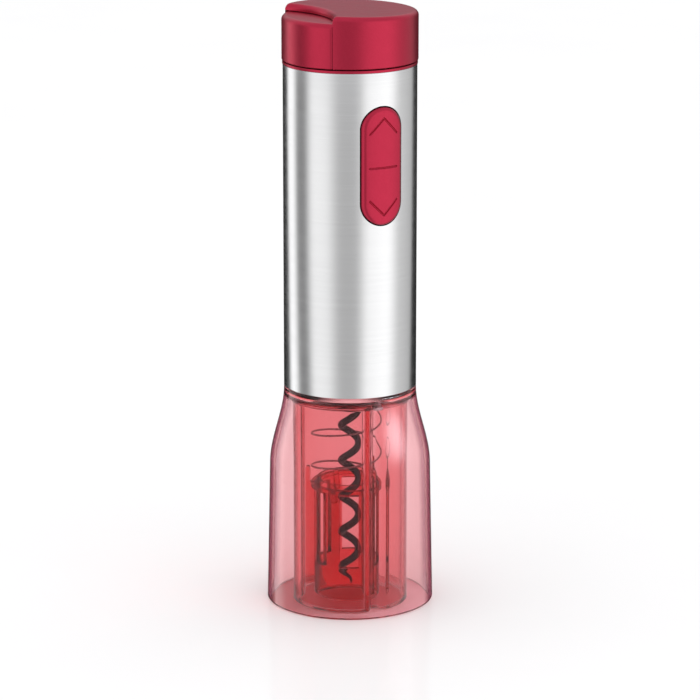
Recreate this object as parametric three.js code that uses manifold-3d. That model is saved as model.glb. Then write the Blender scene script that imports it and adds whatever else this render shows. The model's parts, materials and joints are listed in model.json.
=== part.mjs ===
// Electric wine opener: a steel tube with batteries, motor and gearbox above an
// open clear base, where a screw worm turns inside a sliding, sprung cork guide.
// Millimetres, +Z up, origin at the centre of the base's foot, button facing -Y.
import * as THREE from 'three';
import { mergeVertices } from 'three/addons/utils/BufferGeometryUtils.js';
import Module from 'manifold-3d';

const wasm = await Module();
wasm.setup();

// ---- Driving dimensions ----
const GAP = 0.3;                 // between pieces that rest against each other
const RUNNING = 0.06;            // radial clearance of a shaft in its hole

const TUBE_RADIUS = 25;          // steel body tube, outside
const TUBE_WALL = 0.8;
const TUBE_BOTTOM = 84.3;
const TUBE_LENGTH = 122.4;

const FOOT_RADIUS = 31.58;       // clear base shell, at the bottom edge
const SKIRT_RADIUS = 30.45;      // at the lower end of its shoulder
const SHOULDER_BOTTOM = 53;
const SHOULDER_TOP = 83;
const SHELL_WALL = 1.9;
const SHELL_LEDGE = 1.0;

const SLEEVE_RADIUS = 21.7;      // clear neck sleeve, outside
const SLEEVE_WALL = 1.7;
const SLEEVE_PLATE = 1.1;
const FLUTE_RADIUS = 2.35;
const FLUTE_INSET = 1.0;
const FLUTE_WALL = 1.4;

const GUIDE_BORE = 11.7;         // sliding cork guide, radii
const GUIDE_WALL = 2.0;
const GUIDE_BOTTOM = 2;
const GUIDE_FLANGE_Z = 44.1;
const GUIDE_FLANGE = 1.5;
const GUIDE_COLLAR_TOP = 47.3;
const GUIDE_COLLAR_WALL = 0.9;
const GUIDE_FIN = 1.8;
const GUIDE_FIN_TOP = 51.4;
const WINDOW_WIDTH = 7;
const WINDOW_BOTTOM = 14.8;
const WINDOW_TOP = 43.3;

const SPRING_WIRE = 0.8;         // guide spring
const SPRING_STEP = 1.3;         // its radius beyond the guide's wall
const SPRING_PITCH = 12.85;

const WORM_RADIUS = 4.65;        // screw worm, outside
const WORM_WIRE = 2.8;
const WORM_PITCH = 14;
const WORM_TIP = 5.6;
const WORM_PHASE = 122;          // azimuth of the coil at height zero

const DECK_PLATE = 3.2;
const SCREW_RADIUS = 1.25;
const SCREW_HEAD = 2.2;

const GEAR_MODULE = 0.8;         // both planetary stages
const SUN_TEETH = 9;
const PLANET_TEETH = 18;
const RING_TEETH = SUN_TEETH + 2 * PLANET_TEETH;
const TOOTH_SHARE = 0.4;         // tooth thickness over pitch, the rest is backlash
const STAGE_2_FACE = 6;
const STAGE_1_FACE = 5;
const CARRIER_PLATE = 2;
const PLANET_PIN = 1.5;
const HOUSING_CLEARANCE = 2.2;   // to the tube's bore
const HOUSING_SCREW = 0.85;
const COVER_PLATE = 2;

const MOTOR_RADIUS = 12.2;
const MOTOR_LENGTH = 31;
const MOTOR_WALL = 1.2;
const MOTOR_SHAFT = 1.15;
const COLUMN_RADIUS = 2.6;       // two columns beside the motor carry the battery holder
const COLUMN_GAP = 1.8;

const CELL_RADIUS = 7.1;         // AA cell
const CELL_LENGTH = 49;
const CELL_NUB = 1.5;
const CELL_GAP = 0.4;
const CELL_SETBACK = 0.6;        // cells sit this far behind the tube's axis
const HOLDER_CLEARANCE = 2.3;    // to the tube's bore
const HOLDER_WALL = 1.5;
const HOLDER_FLOOR = 3;

const BUTTON_CENTRE = 172;       // rocker button
const BUTTON_LENGTH = 44;
const BUTTON_WIDTH = 16.5;
const BUTTON_PROUD = 1.2;
const BUTTON_SKIN = 2;
const BUTTON_CLEARANCE = 0.45;
const PIVOT_DEPTH = 5.2;         // pivot axis, inside the tube's outer face
const PIN_RADIUS = 1.0;
const SWITCH_OFFSET = 15;
const BOARD_WIDTH = 19;
const SWITCH_TRAVEL = 0.75;

const RING_LIP = 1.1;            // top ring
const CAP_PROUD = 0.4;           // lid and latch, beyond the tube
const CAP_WALL = 1.9;
const CAP_HEIGHT = 18.6;
const CAP_EDGE = 2.2;
const CAP_TILT = 1.7;            // degrees, falling towards the hinge
const LATCH_STEP = 2.8;          // latch top below the lid top
const LATCH_ARC_RADIUS = 30.5;
const LATCH_DEPTH = 14.2;        // from the cap's edge to the middle of the arc
const LATCH_HALF_WIDTH = 17.4;
const LATCH_UNDERLAP = 0.8;
const LATCH_TRAVEL = 1;
const TONGUE_HALF_WIDTH = 3.5;
const TONGUE_THICKNESS = 1.5;
const TONGUE_SETBACK = 1.1;      // inside the battery holder's radius
const HINGE_KNUCKLE = 1.5;
const HINGE_PIN = 0.7;
const HINGE_HALF_WIDTH = 5;

// ---- Worked-out levels and radii ----
const tubeTop = TUBE_BOTTOM + TUBE_LENGTH;
const tubeBore = TUBE_RADIUS - TUBE_WALL;
const spigotRadius = tubeBore - GAP;
const shellTop = TUBE_BOTTOM - GAP;
const deckBottom = TUBE_BOTTOM - 1.6;
const deckTop = TUBE_BOTTOM + DECK_PLATE;
const ledgeTop = deckBottom - GAP;
const ledgeBottom = ledgeTop - SHELL_LEDGE;
const plateTop = ledgeBottom - GAP;
const plateBottom = plateTop - SLEEVE_PLATE;
const fluteCentre = SLEEVE_RADIUS - FLUTE_INSET;
const ridgeRadius = FLUTE_RADIUS + FLUTE_WALL;
const ridgeReach = fluteCentre - FLUTE_RADIUS - 0.9;
const guideRadius = GUIDE_BORE + GUIDE_WALL;
const springRadius = guideRadius + SPRING_STEP;
const housingRadius = tubeBore - HOUSING_CLEARANCE;
const holderRadius = tubeBore - HOLDER_CLEARANCE;
const capRadius = TUBE_RADIUS + CAP_PROUD;
const latchArcX = LATCH_DEPTH - capRadius;
const columnCircle = MOTOR_RADIUS + COLUMN_GAP + COLUMN_RADIUS;
const cellSpacing = 2 * CELL_RADIUS + CELL_GAP;
const finReach = ridgeReach - 0.45;
const springSeat = deckBottom - 1.4;
const flangeTop = GUIDE_FLANGE_Z + GUIDE_FLANGE;
const spindleRadius = 3.9;
const gearCentre = GEAR_MODULE * (SUN_TEETH + PLANET_TEETH) / 2;
const carrierRadius = gearCentre + PLANET_PIN + 1.4;
const housingBottom = deckTop + GAP;
const carrier2Bottom = housingBottom + 1.4;
const planet2Bottom = carrier2Bottom + CARRIER_PLATE + GAP;
const planet2Top = planet2Bottom + STAGE_2_FACE;
const carrier1Bottom = planet2Top + 1.2;
const planet1Bottom = carrier1Bottom + CARRIER_PLATE + GAP;
const planet1Top = planet1Bottom + STAGE_1_FACE;
const housingTop = planet1Top + 1.8;
const coverBottom = housingTop + GAP;
const coverTop = coverBottom + COVER_PLATE;
const bracketBottom = coverTop + GAP;
const bracketTop = bracketBottom + 2;
const motorBottom = bracketTop + GAP;
const motorTop = motorBottom + MOTOR_LENGTH;
const holderBottom = motorTop + 6;
const holderFloor = holderBottom + HOLDER_FLOOR;
const cellBottom = holderFloor + 5;
const cellTop = cellBottom + CELL_LENGTH;
const capBottom = tubeTop + RING_LIP + 0.8;
const capTop = capBottom + CAP_HEIGHT;
const capPlate = capTop - 2;
const latchTop = capTop - LATCH_STEP;
const latchPlate = latchTop - 2;
const hingeX = TUBE_RADIUS - 0.1;
const hingeZ = tubeTop + HINGE_KNUCKLE + GAP;
const pivotY = -(TUBE_RADIUS - PIVOT_DEPTH);
const boardFront = pivotY + 4.3;
const boardBack = boardFront + 1.2;

// ---- Solids ----
const ROUND = 48;                // sides of a full-width circle

// A geometry as a manifold solid, from its merged positions.
function solid(geometry) {
  const bare = geometry.clone();
  bare.deleteAttribute('normal');
  bare.deleteAttribute('uv');
  const merged = mergeVertices(bare, 1e-5);
  return new wasm.Manifold(new wasm.Mesh({
    numProp: 3,
    vertProperties: new Float32Array(merged.attributes.position.array),
    triVerts: new Uint32Array(merged.index.array),
  }));
}

// A manifold solid as a geometry again.
function geometryOf(manifold) {
  const mesh = manifold.getMesh();
  const geometry = new THREE.BufferGeometry();
  geometry.setAttribute('position', new THREE.BufferAttribute(mesh.vertProperties, 3));
  geometry.setIndex(new THREE.BufferAttribute(mesh.triVerts, 1));
  geometry.computeVertexNormals();
  return geometry;
}

// An upright cylinder, or a cone when a second radius is given for its top.
function post(radius, bottom, top, x = 0, y = 0, sides = 20, topRadius = radius) {
  const geometry = new THREE.CylinderGeometry(topRadius, radius, top - bottom, sides);
  geometry.rotateX(Math.PI / 2);
  geometry.translate(x, y, (bottom + top) / 2);
  return solid(geometry);
}

const drum = (radius, bottom, top) => post(radius, bottom, top, 0, 0, radius > 20 ? ROUND : 32);
const ring = (outer, inner, bottom, top) => (
  drum(outer, bottom, top).subtract(drum(inner, bottom - 1, top + 1)));

// A closed profile of radii and heights turned about the vertical axis.
function revolved(profile) {
  const geometry = new THREE.LatheGeometry(profile, ROUND);
  geometry.rotateX(Math.PI / 2);
  return solid(geometry);
}

// A cylinder lying along X, and one lying along Y.
function rodX(radius, from, to, y, z, sides = 20) {
  const geometry = new THREE.CylinderGeometry(radius, radius, to - from, sides);
  geometry.rotateZ(Math.PI / 2);
  geometry.translate((from + to) / 2, y, z);
  return solid(geometry);
}

function rodY(radius, from, to, x, z, sides = 20) {
  const geometry = new THREE.CylinderGeometry(radius, radius, to - from, sides);
  geometry.translate(x, (from + to) / 2, z);
  return solid(geometry);
}

function block(x0, x1, y0, y1, z0, z1) {
  const geometry = new THREE.BoxGeometry(x1 - x0, y1 - y0, z1 - z0);
  geometry.translate((x0 + x1) / 2, (y0 + y1) / 2, (z0 + z1) / 2);
  return solid(geometry);
}

// Azimuth 0 is the front (-Y) and grows towards +X.
const alongX = (azimuth) => Math.sin(THREE.MathUtils.degToRad(azimuth));
const alongY = (azimuth) => -Math.cos(THREE.MathUtils.degToRad(azimuth));
const turned = (manifold, azimuth) => manifold.rotate([0, 0, azimuth]);
const THIRDS = [0, 120, 240];

// A round wire along a curve, with the given number of sides.
function wireGeometry(curve, radius, steps, sides) {
  const section = new THREE.Shape();
  section.absarc(0, 0, radius, 0, 2 * Math.PI);
  const path = { steps, extrudePath: curve, curveSegments: sides / 2, bevelEnabled: false };
  return new THREE.ExtrudeGeometry(section, path);
}

const wire = (...sizes) => solid(wireGeometry(...sizes));

// A helix about the vertical axis: radiusAt and the height run with the share t.
class Helix extends THREE.Curve {
  constructor(radiusAt, bottom, top, pitch, startAzimuth, x = 0, y = 0) {
    super();
    Object.assign(this, { radiusAt, bottom, top, pitch, startAzimuth, x, y });
  }

  getPoint(t) {
    const rise = t * (this.top - this.bottom);
    const azimuth = this.startAzimuth + 360 * rise / this.pitch;
    const radius = this.radiusAt(this.bottom + rise);
    return new THREE.Vector3(
      this.x + radius * alongX(azimuth), this.y + radius * alongY(azimuth), this.bottom + rise);
  }
}

// A stadium outline in the X-Z plane, extruded along Y between two depths.
function stadium(halfWidth, halfLength, from, to) {
  const straight = halfLength - halfWidth;
  const outline = new THREE.Shape();
  outline.absarc(0, straight, halfWidth, 0, Math.PI);
  outline.absarc(0, -straight, halfWidth, Math.PI, 2 * Math.PI);
  const geometry = new THREE.ExtrudeGeometry(outline, {
    depth: to - from, curveSegments: 8, bevelEnabled: false });
  geometry.rotateX(Math.PI / 2);
  geometry.translate(0, to, BUTTON_CENTRE);
  return solid(geometry);
}

// ---- Group and materials ----
const opener = new THREE.Group();

function finish(color, roughness, metalness) {
  return new THREE.MeshStandardMaterial({ color, roughness, metalness });
}

const STEEL = finish(0xc8c8cc, 0.3, 1);
const PLATED = finish(0xb8bac0, 0.35, 1);
const CLEAR_RED = finish(0xd81828, 0.15, 0);
const SATIN_RED = finish(0x9c2036, 0.4, 0.3);
const BLACK = finish(0x1a1a1c, 0.5, 0);
const RED_PLASTIC = finish(0x8c1420, 0.4, 0);
const NYLON = finish(0xe6e2d6, 0.5, 0);
const BRONZE = finish(0xa8763c, 0.45, 1);
const BOARD = finish(0x1f6b3a, 0.6, 0);
const CELL_WRAP = finish(0x30343c, 0.4, 0.2);
const NICKEL = finish(0xd0ccc0, 0.3, 1);

function add(name, manifold, material, reshape = null) {
  const geometry = geometryOf(manifold);
  if (reshape) reshape(geometry);
  const mesh = new THREE.Mesh(geometry, material);
  mesh.name = name;
  opener.add(mesh);
}

// ---- Base shell: flared clear skirt with an inner ledge ----
function shellRadius(z) {
  if (z <= SHOULDER_BOTTOM) {
    return SKIRT_RADIUS + (FOOT_RADIUS - SKIRT_RADIUS) * (1 - z / SHOULDER_BOTTOM);
  }
  const rise = THREE.MathUtils.clamp((SHOULDER_TOP - z) / (SHOULDER_TOP - SHOULDER_BOTTOM), 0, 1);
  return TUBE_RADIUS + (SKIRT_RADIUS - TUBE_RADIUS) * rise * rise * (3 - 2 * rise);
}

function baseShell() {
  const levels = [0];
  const steps = 6;
  for (let i = 0; i <= steps; i += 1) {
    levels.push(SHOULDER_BOTTOM + i * (SHOULDER_TOP - SHOULDER_BOTTOM) / steps);
  }
  levels.push(shellTop);
  const outer = levels.map((z) => new THREE.Vector2(shellRadius(z), z));
  const inner = levels.map((z) => new THREE.Vector2(shellRadius(z) - SHELL_WALL, z)).reverse();
  const wall = revolved([...outer, ...inner, outer[0]]);
  const ledgeEdge = shellRadius(ledgeBottom) - SHELL_WALL / 2;
  let shell = wall.add(ring(ledgeEdge, ridgeReach + 1, ledgeBottom, ledgeTop));
  for (const azimuth of THIRDS) {
    shell = shell.subtract(turned(
      post(SCREW_RADIUS + GAP, ledgeBottom - 1, ledgeTop + 1, 0, -fluteCentre, 12), azimuth));
  }
  return shell;
}

// ---- Neck sleeve: inner clear tube with three screw flutes ----
function neckSleeve() {
  const plateRadius = shellRadius(plateTop) - SHELL_WALL - GAP;
  const boreRadius = SLEEVE_RADIUS - SLEEVE_WALL;
  let bore = drum(boreRadius, 0, plateBottom);
  let sleeve = drum(SLEEVE_RADIUS, GAP, plateTop).add(drum(plateRadius, plateBottom, plateTop));
  sleeve = sleeve.subtract(drum(ridgeReach, -1, plateTop + 1));
  for (const azimuth of THIRDS) {
    const ridge = post(ridgeRadius, -1, plateTop, 0, -(ridgeReach + ridgeRadius));
    bore = bore.subtract(turned(ridge, azimuth));
  }
  sleeve = sleeve.subtract(bore);
  for (const azimuth of THIRDS) {
    const flute = post(FLUTE_RADIUS, -1, plateBottom, 0, -fluteCentre)
      .add(block(-FLUTE_RADIUS * 0.9, FLUTE_RADIUS * 0.9, -SLEEVE_RADIUS - 1, -fluteCentre,
        -1, plateBottom));
    const hole = post(SCREW_RADIUS + GAP, plateBottom - 1, plateTop + 1, 0, -fluteCentre, 12);
    sleeve = sleeve.subtract(turned(flute, azimuth)).subtract(turned(hole, azimuth));
  }
  return sleeve;
}

function sleeveScrew(azimuth) {
  const headTop = plateBottom - 0.05;
  const head = post(SCREW_HEAD, headTop - 1.3, headTop, 0, -fluteCentre, 16);
  const shank = post(SCREW_RADIUS, headTop - 0.5, deckTop - 1, 0, -fluteCentre, 12);
  const recess = post(0.9, headTop - 2, headTop - 0.7, 0, -fluteCentre, 6);
  return turned(head.add(shank).subtract(recess), azimuth);
}

// ---- Deck plate: closes the tube, seats the spring, carries the gearbox ----
const bushRadius = spindleRadius + 2.2;

function deckPlate() {
  const lowerRadius = shellRadius(deckBottom) - SHELL_WALL - GAP;
  let deck = drum(lowerRadius, deckBottom, TUBE_BOTTOM + GAP)
    .add(drum(spigotRadius, TUBE_BOTTOM, deckTop))
    .add(drum(springRadius + 1.5, springSeat, deckBottom + 0.5))
    .subtract(drum(bushRadius + 0.1, springSeat - 1, deckTop + 1));
  for (const azimuth of THIRDS) {
    const pilot = post(SCREW_RADIUS + 0.15, deckBottom - 1, deckTop - 0.6, 0, -fluteCentre, 12);
    deck = deck.subtract(turned(pilot, azimuth));
    const housingPilot = post(HOUSING_SCREW + 0.1, TUBE_BOTTOM + 0.5, deckTop + 1, 0, -screwCircle, 12);
    deck = deck.subtract(turned(housingPilot, azimuth + 60));
  }
  return deck;
}

function steelTube() {
  const cut = stadium(BUTTON_WIDTH / 2 + BUTTON_CLEARANCE, BUTTON_LENGTH / 2 + BUTTON_CLEARANCE,
    -TUBE_RADIUS - 2, -TUBE_RADIUS / 2);
  return ring(TUBE_RADIUS, tubeBore, TUBE_BOTTOM, tubeTop).subtract(cut);
}

// ---- Cork guide: windowed cage with fins, flange and collar ----
function corkGuide() {
  let guide = drum(guideRadius, GUIDE_BOTTOM, flangeTop)
    .add(drum(springRadius - 0.1, GUIDE_FLANGE_Z, flangeTop))
    .add(drum(GUIDE_BORE + GUIDE_COLLAR_WALL, flangeTop - 0.5, GUIDE_COLLAR_TOP));
  const fingerRoot = springRadius + GAP;
  for (const azimuth of THIRDS) {
    const half = GUIDE_FIN / 2;
    const fin = block(-half, half, -finReach, -guideRadius + 0.5, 5, flangeTop)
      .add(block(-half, half, -finReach, -fingerRoot, flangeTop - 0.5, GUIDE_FIN_TOP - half))
      .add(rodY(half, -finReach, -fingerRoot, 0, GUIDE_FIN_TOP - half, 16));
    guide = guide.add(turned(fin, azimuth));
  }
  guide = guide.subtract(drum(GUIDE_BORE, 0, GUIDE_COLLAR_TOP + 1));
  for (let azimuth = 30; azimuth < 360; azimuth += 60) {
    const window = block(-WINDOW_WIDTH / 2, WINDOW_WIDTH / 2, -guideRadius - 0.2,
      -GUIDE_BORE + 2, WINDOW_BOTTOM, WINDOW_TOP);
    guide = guide.subtract(turned(window, azimuth));
  }
  for (const azimuth of THIRDS) {
    guide = guide.add(turned(guideRib(), azimuth + 60));
  }
  return guide;
}

// A pointed rib inside the guide's collar, which keeps the cork from turning.
function guideRib() {
  const outline = new THREE.Shape();
  outline.moveTo(-1, 0);
  outline.lineTo(1, 0);
  outline.lineTo(0, 6.5);
  outline.closePath();
  const geometry = new THREE.ExtrudeGeometry(outline, { depth: 1.6, bevelEnabled: false });
  geometry.rotateX(Math.PI / 2);
  geometry.translate(0, -GUIDE_BORE + 1.2, GUIDE_COLLAR_TOP - 6.8);
  return solid(geometry);
}

function guideSpring() {
  const half = SPRING_WIRE / 2;
  const bottom = flangeTop + half + 0.2;
  const top = springSeat - half - 0.2;
  const start = -28 - 360 * (top - bottom) / SPRING_PITCH;
  const turns = (top - bottom) / SPRING_PITCH;
  const helix = new Helix(() => springRadius - half, bottom, top, SPRING_PITCH, start);
  return wire(helix, half, Math.round(turns * 18), 6);
}

// ---- Screw worm and its spindle ----
const wormTop = springSeat + 1;

function wormRadiusAt(z) {
  const full = WORM_RADIUS - WORM_WIRE / 2;
  const lead = THREE.MathUtils.smoothstep(z, WORM_TIP, WORM_TIP + 4);
  const root = 1 - THREE.MathUtils.smoothstep(z, wormTop - 7, wormTop - 2);
  return full * (0.15 + 0.85 * lead) * root;
}

// Narrows the first steps of a swept wire to a point.
function sharpened(geometry, curve, steps, taperSteps) {
  const centres = Array.from({ length: steps + 1 }, (_, step) => curve.getPointAt(step / steps));
  const positions = geometry.attributes.position;
  const point = new THREE.Vector3();
  for (let i = 0; i < positions.count; i += 1) {
    point.fromBufferAttribute(positions, i);
    const distances = centres.map((centre) => centre.distanceTo(point));
    const nearest = distances.indexOf(Math.min(...distances));
    const share = Math.min(1, 0.12 + 0.88 * nearest / taperSteps);
    point.sub(centres[nearest]).multiplyScalar(share).add(centres[nearest]);
    positions.setXYZ(i, point.x, point.y, point.z);
  }
  return geometry;
}

function corkscrewWorm() {
  const bottom = WORM_TIP + 0.2;
  const start = WORM_PHASE - 540 + 360 * bottom / WORM_PITCH;
  const helix = new Helix(wormRadiusAt, bottom, wormTop, WORM_PITCH, start);
  const steps = Math.round(15 * (wormTop - bottom) / WORM_PITCH);
  return solid(sharpened(wireGeometry(helix, WORM_WIRE / 2, steps, 8), helix, steps, 8));
}

// The spindle holds the worm's straight root in its socket.
function outputSpindle() {
  const socket = post(WORM_WIRE / 2 + 0.15, springSeat - 2, wormTop + 0.4);
  return post(spindleRadius, springSeat - 0.6, carrier2Bottom - 0.1).subtract(socket);
}

function outputBush() {
  return post(bushRadius, springSeat + 0.3, housingBottom + 0.4, 0, 0, 32)
    .subtract(post(spindleRadius + RUNNING, springSeat - 1, housingBottom + 2));
}

// ---- Gears ----
const toothPitch = Math.PI * GEAR_MODULE;

// Outline of a straight-flanked gear: teeth at multiples of the pitch from a
// phase, tip and root beyond the pitch circle by addendum and dedendum.
function gearOutline(teeth, addendum, dedendum, phase, share = TOOTH_SHARE) {
  const radius = teeth * GEAR_MODULE / 2;
  const halfThickness = share * toothPitch / 2;
  const slope = Math.tan(THREE.MathUtils.degToRad(20));
  const outline = new THREE.Shape();
  for (let i = 0; i < teeth; i += 1) {
    const middle = phase + i * 2 * Math.PI / teeth;
    const corners = [[radius - dedendum, -1, halfThickness + slope * dedendum],
      [radius + addendum, -1, halfThickness - slope * addendum],
      [radius + addendum, 1, halfThickness - slope * addendum],
      [radius - dedendum, 1, halfThickness + slope * dedendum]];
    corners.forEach(([r, side, half], corner) => {
      const angle = middle + side * half / r;
      const place = (i === 0 && corner === 0) ? 'moveTo' : 'lineTo';
      outline[place](r * Math.cos(angle), r * Math.sin(angle));
    });
  }
  outline.closePath();
  return outline;
}

function gear(teeth, bottom, top, phase = 0) {
  const outline = gearOutline(teeth, 0.8 * GEAR_MODULE, GEAR_MODULE, phase);
  const geometry = new THREE.ExtrudeGeometry(outline, { depth: top - bottom, bevelEnabled: false });
  geometry.translate(0, 0, bottom);
  return solid(geometry);
}

function planet(index, bottom, top) {
  const hole = post(PLANET_PIN + RUNNING, bottom - 1, top + 1, 0, 0, 12);
  return gear(PLANET_TEETH, bottom, top).subtract(hole)
    .translate([gearCentre, 0, 0]).rotate([0, 0, 120 * index]);
}

const sunPhase = Math.PI / SUN_TEETH;

// The ring gear is cut by a gear of its own tooth spaces.
function gearboxHousing() {
  const cutter = new THREE.ExtrudeGeometry(
    gearOutline(RING_TEETH, GEAR_MODULE, 0.8 * GEAR_MODULE, 0, 1 - TOOTH_SHARE),
    { depth: housingTop - planet2Bottom + 2, bevelEnabled: false });
  cutter.translate(0, 0, planet2Bottom - 1);
  const bore = ringRoot + 0.2;
  let housing = drum(housingRadius, housingBottom, housingTop)
    .subtract(drum(bore, housingBottom - 1, planet2Bottom - 0.9))
    .subtract(solid(cutter));
  for (const azimuth of THIRDS) {
    const hole = post(HOUSING_SCREW + 0.15, housingBottom - 1, housingTop + 1, 0, -screwCircle, 12);
    housing = housing.subtract(turned(hole, azimuth + 60));
  }
  return housing;
}

const ringRoot = RING_TEETH * GEAR_MODULE / 2 + GEAR_MODULE;
const screwCircle = (ringRoot + housingRadius) / 2;

function gearboxCover() {
  let cover = ring(housingRadius, 5, coverBottom, coverTop);
  for (const azimuth of THIRDS) {
    const hole = post(HOUSING_SCREW + 0.15, coverBottom - 1, coverTop + 1, 0, -screwCircle, 12);
    cover = cover.subtract(turned(hole, azimuth + 60));
  }
  return cover;
}

function gearboxScrew(azimuth) {
  const shank = post(HOUSING_SCREW, TUBE_BOTTOM + 1, coverTop + 0.3, 0, -screwCircle, 12);
  const head = post(1.35, coverTop + 0.05, coverTop + 1.2, 0, -screwCircle, 12);
  return turned(shank.add(head), azimuth + 60);
}

function carrier(bottom, pinTop, innerRadius) {
  let plate = ring(carrierRadius, innerRadius, bottom, bottom + CARRIER_PLATE);
  for (const azimuth of THIRDS) {
    const pin = post(PLANET_PIN, bottom + 0.5, pinTop, gearCentre, 0, 12);
    plate = plate.add(turned(pin, azimuth));
  }
  return plate;
}

// ---- Motor ----
function motorBracket() {
  let bracket = ring(housingRadius, 5, bracketBottom, bracketTop);
  for (const azimuth of THIRDS) {
    const head = post(HOUSING_SCREW * 2, bracketBottom - 1, bracketTop + 1, 0, -screwCircle, 12);
    bracket = bracket.subtract(turned(head, azimuth + 60));
  }
  for (const side of [-1, 1]) {
    bracket = bracket.add(
      post(COLUMN_RADIUS, bracketTop - 0.5, holderBottom - GAP, side * columnCircle, 0, 12));
  }
  return bracket;
}

function motorCan() {
  return post(MOTOR_RADIUS, motorBottom, motorTop, 0, 0, 40)
    .subtract(post(MOTOR_RADIUS - MOTOR_WALL, motorBottom + MOTOR_WALL, motorTop + 1, 0, 0, 40))
    .subtract(post(MOTOR_SHAFT + 0.5, motorBottom - 1, motorBottom + 2));
}

function motorEndCap() {
  return post(MOTOR_RADIUS - MOTOR_WALL - 0.1, motorTop - 2.5, motorTop + 0.8, 0, 0, 40)
    .add(block(-6.5, -5.5, -1.5, 1.5, motorTop, motorTop + 4))
    .add(block(5.5, 6.5, -1.5, 1.5, motorTop, motorTop + 4))
    .subtract(post(MOTOR_SHAFT + RUNNING, motorTop - 4, motorTop + 2));
}

// Armature and shaft; the shaft runs down into the pinion's bore.
function motorRotor() {
  return post(MOTOR_SHAFT, planet1Bottom + 0.6, motorTop + 0.4)
    .add(post(MOTOR_RADIUS - MOTOR_WALL - 2.6, motorBottom + 5, motorTop - 8, 0, 0, 32));
}

function motorPinion() {
  return gear(SUN_TEETH, planet1Bottom, planet1Top + 0.6, sunPhase)
    .subtract(post(MOTOR_SHAFT + 0.05, planet1Bottom + 0.5, planet1Top + 2));
}

// ---- Batteries and their holder ----
const CELLS = [[-1, -1], [1, -1], [1, 1], [-1, 1]];
const cellX = (cell) => CELLS[cell][0] * cellSpacing / 2;
const cellY = (cell) => CELLS[cell][1] * cellSpacing / 2 + CELL_SETBACK;

// Every second cell stands on its head.
function battery(cell) {
  const up = cell % 2 === 0;
  const nubBottom = up ? cellTop - 0.2 : cellBottom - CELL_NUB;
  const nubTop = up ? cellTop + CELL_NUB : cellBottom + 0.2;
  return post(CELL_RADIUS, cellBottom, cellTop, cellX(cell), cellY(cell), 32)
    .add(post(2.7, nubBottom, nubTop, cellX(cell), cellY(cell), 16));
}

function batteryHolder() {
  const flat = boardBack + GAP;
  const front = block(-holderRadius, holderRadius, -holderRadius - 1, flat,
    holderBottom - 1, tubeTop);
  const bayFront = block(-holderRadius, holderRadius, -holderRadius - 1, -CELL_RADIUS,
    holderFloor, tubeTop);
  const floor = drum(holderRadius, holderBottom, holderFloor);
  const wall = ring(holderRadius, holderRadius - HOLDER_WALL, holderBottom, tubeTop - 1);
  return floor.add(wall).subtract(front).subtract(bayFront);
}

function contactSpring(cell) {
  const radiusAt = (z) => 4.2 - 1.6 * (z - holderFloor) / (cellBottom - holderFloor);
  const helix = new Helix(radiusAt, holderFloor + 0.6, cellBottom - 0.6, 1.7, 0,
    cellX(cell), cellY(cell));
  return wire(helix, 0.3, 26, 4);
}

function contactTab(cell) {
  const x = cellX(cell);
  const y = cellY(cell);
  const top = cellBottom - CELL_NUB - 0.1;
  return block(x - 4, x + 4, y - 4, y + 4, top - 0.4, top)
    .add(block(x - 4, x - 3.6, y - 4, y + 4, holderFloor + 0.1, top));
}

// ---- Rocker button, its pivot, board and switches ----
function rockerButton() {
  const half = BUTTON_WIDTH / 2;
  const reach = BUTTON_LENGTH / 2;
  const outer = TUBE_RADIUS + BUTTON_PROUD;
  const skirtWall = 1.2;
  const flangeOut = 1.2;
  const skirtBottom = TUBE_RADIUS - 4;
  const shape = stadium(half, reach, -outer - 1, -10)
    .subtract(stadium(half - skirtWall, reach - skirtWall, -outer - 1, -9)
      .intersect(drum(outer - BUTTON_SKIN, 0, capTop)));
  const flange = stadium(half + flangeOut, reach + flangeOut, -outer - 1, -10)
    .subtract(stadium(half - skirtWall, reach - skirtWall, -outer - 2, -9))
    .intersect(ring(skirtBottom + 1.4, skirtBottom, 0, capTop));
  let button = shape.intersect(ring(outer, skirtBottom, 0, capTop)).add(flange);
  button = button.add(block(-4.6, 4.6, -outer + BUTTON_SKIN - 0.4, pivotY + 1.9,
    BUTTON_CENTRE - 2.6, BUTTON_CENTRE + 2.6));
  for (const side of [-1, 1]) {
    button = button.add(rodY(1.5, -outer + BUTTON_SKIN - 0.4, plungerTip - SWITCH_TRAVEL,
      0, BUTTON_CENTRE + side * SWITCH_OFFSET));
  }
  button = button.subtract(rodX(PIN_RADIUS + RUNNING, -9, 9, pivotY, BUTTON_CENTRE));
  return engraved(button, outer);
}

// Shallow grooves for the two arrowheads and the middle line.
function engraved(button, outer) {
  const depth = 0.4;
  const width = 0.7;
  const front = -outer - 1;
  const groove = (length, turn, x, z) => (
    block(-length / 2, length / 2, front, -outer / 2, -width / 2, width / 2)
      .rotate([0, turn, 0]).translate([x, 0, z]));
  const skin = drum(outer + 1, 100, capTop).subtract(drum(outer - depth, 0, capTop));
  const arm = Math.hypot(5.8, 5.7);
  const lean = THREE.MathUtils.radToDeg(Math.atan2(5.7, 5.8));
  const grooves = [groove(11.6, 0, 0, BUTTON_CENTRE)];
  for (const end of [-1, 1]) {
    for (const side of [-1, 1]) {
      const z = BUTTON_CENTRE + end * 15.3;
      grooves.push(groove(arm, end * side * lean, side * 2.9, z));
    }
  }
  return grooves.reduce((rest, one) => rest.subtract(one.intersect(skin)), button);
}

const plungerTip = boardFront - 4.1;
const boardHalf = BOARD_WIDTH / 2;

function tactSwitch(side) {
  const z = BUTTON_CENTRE + side * SWITCH_OFFSET;
  const front = boardFront - GAP;
  return block(-3, 3, front - 3, front, z - 3, z + 3)
    .add(rodY(1.7, plungerTip, front - 2.5, 0, z));
}

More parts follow.
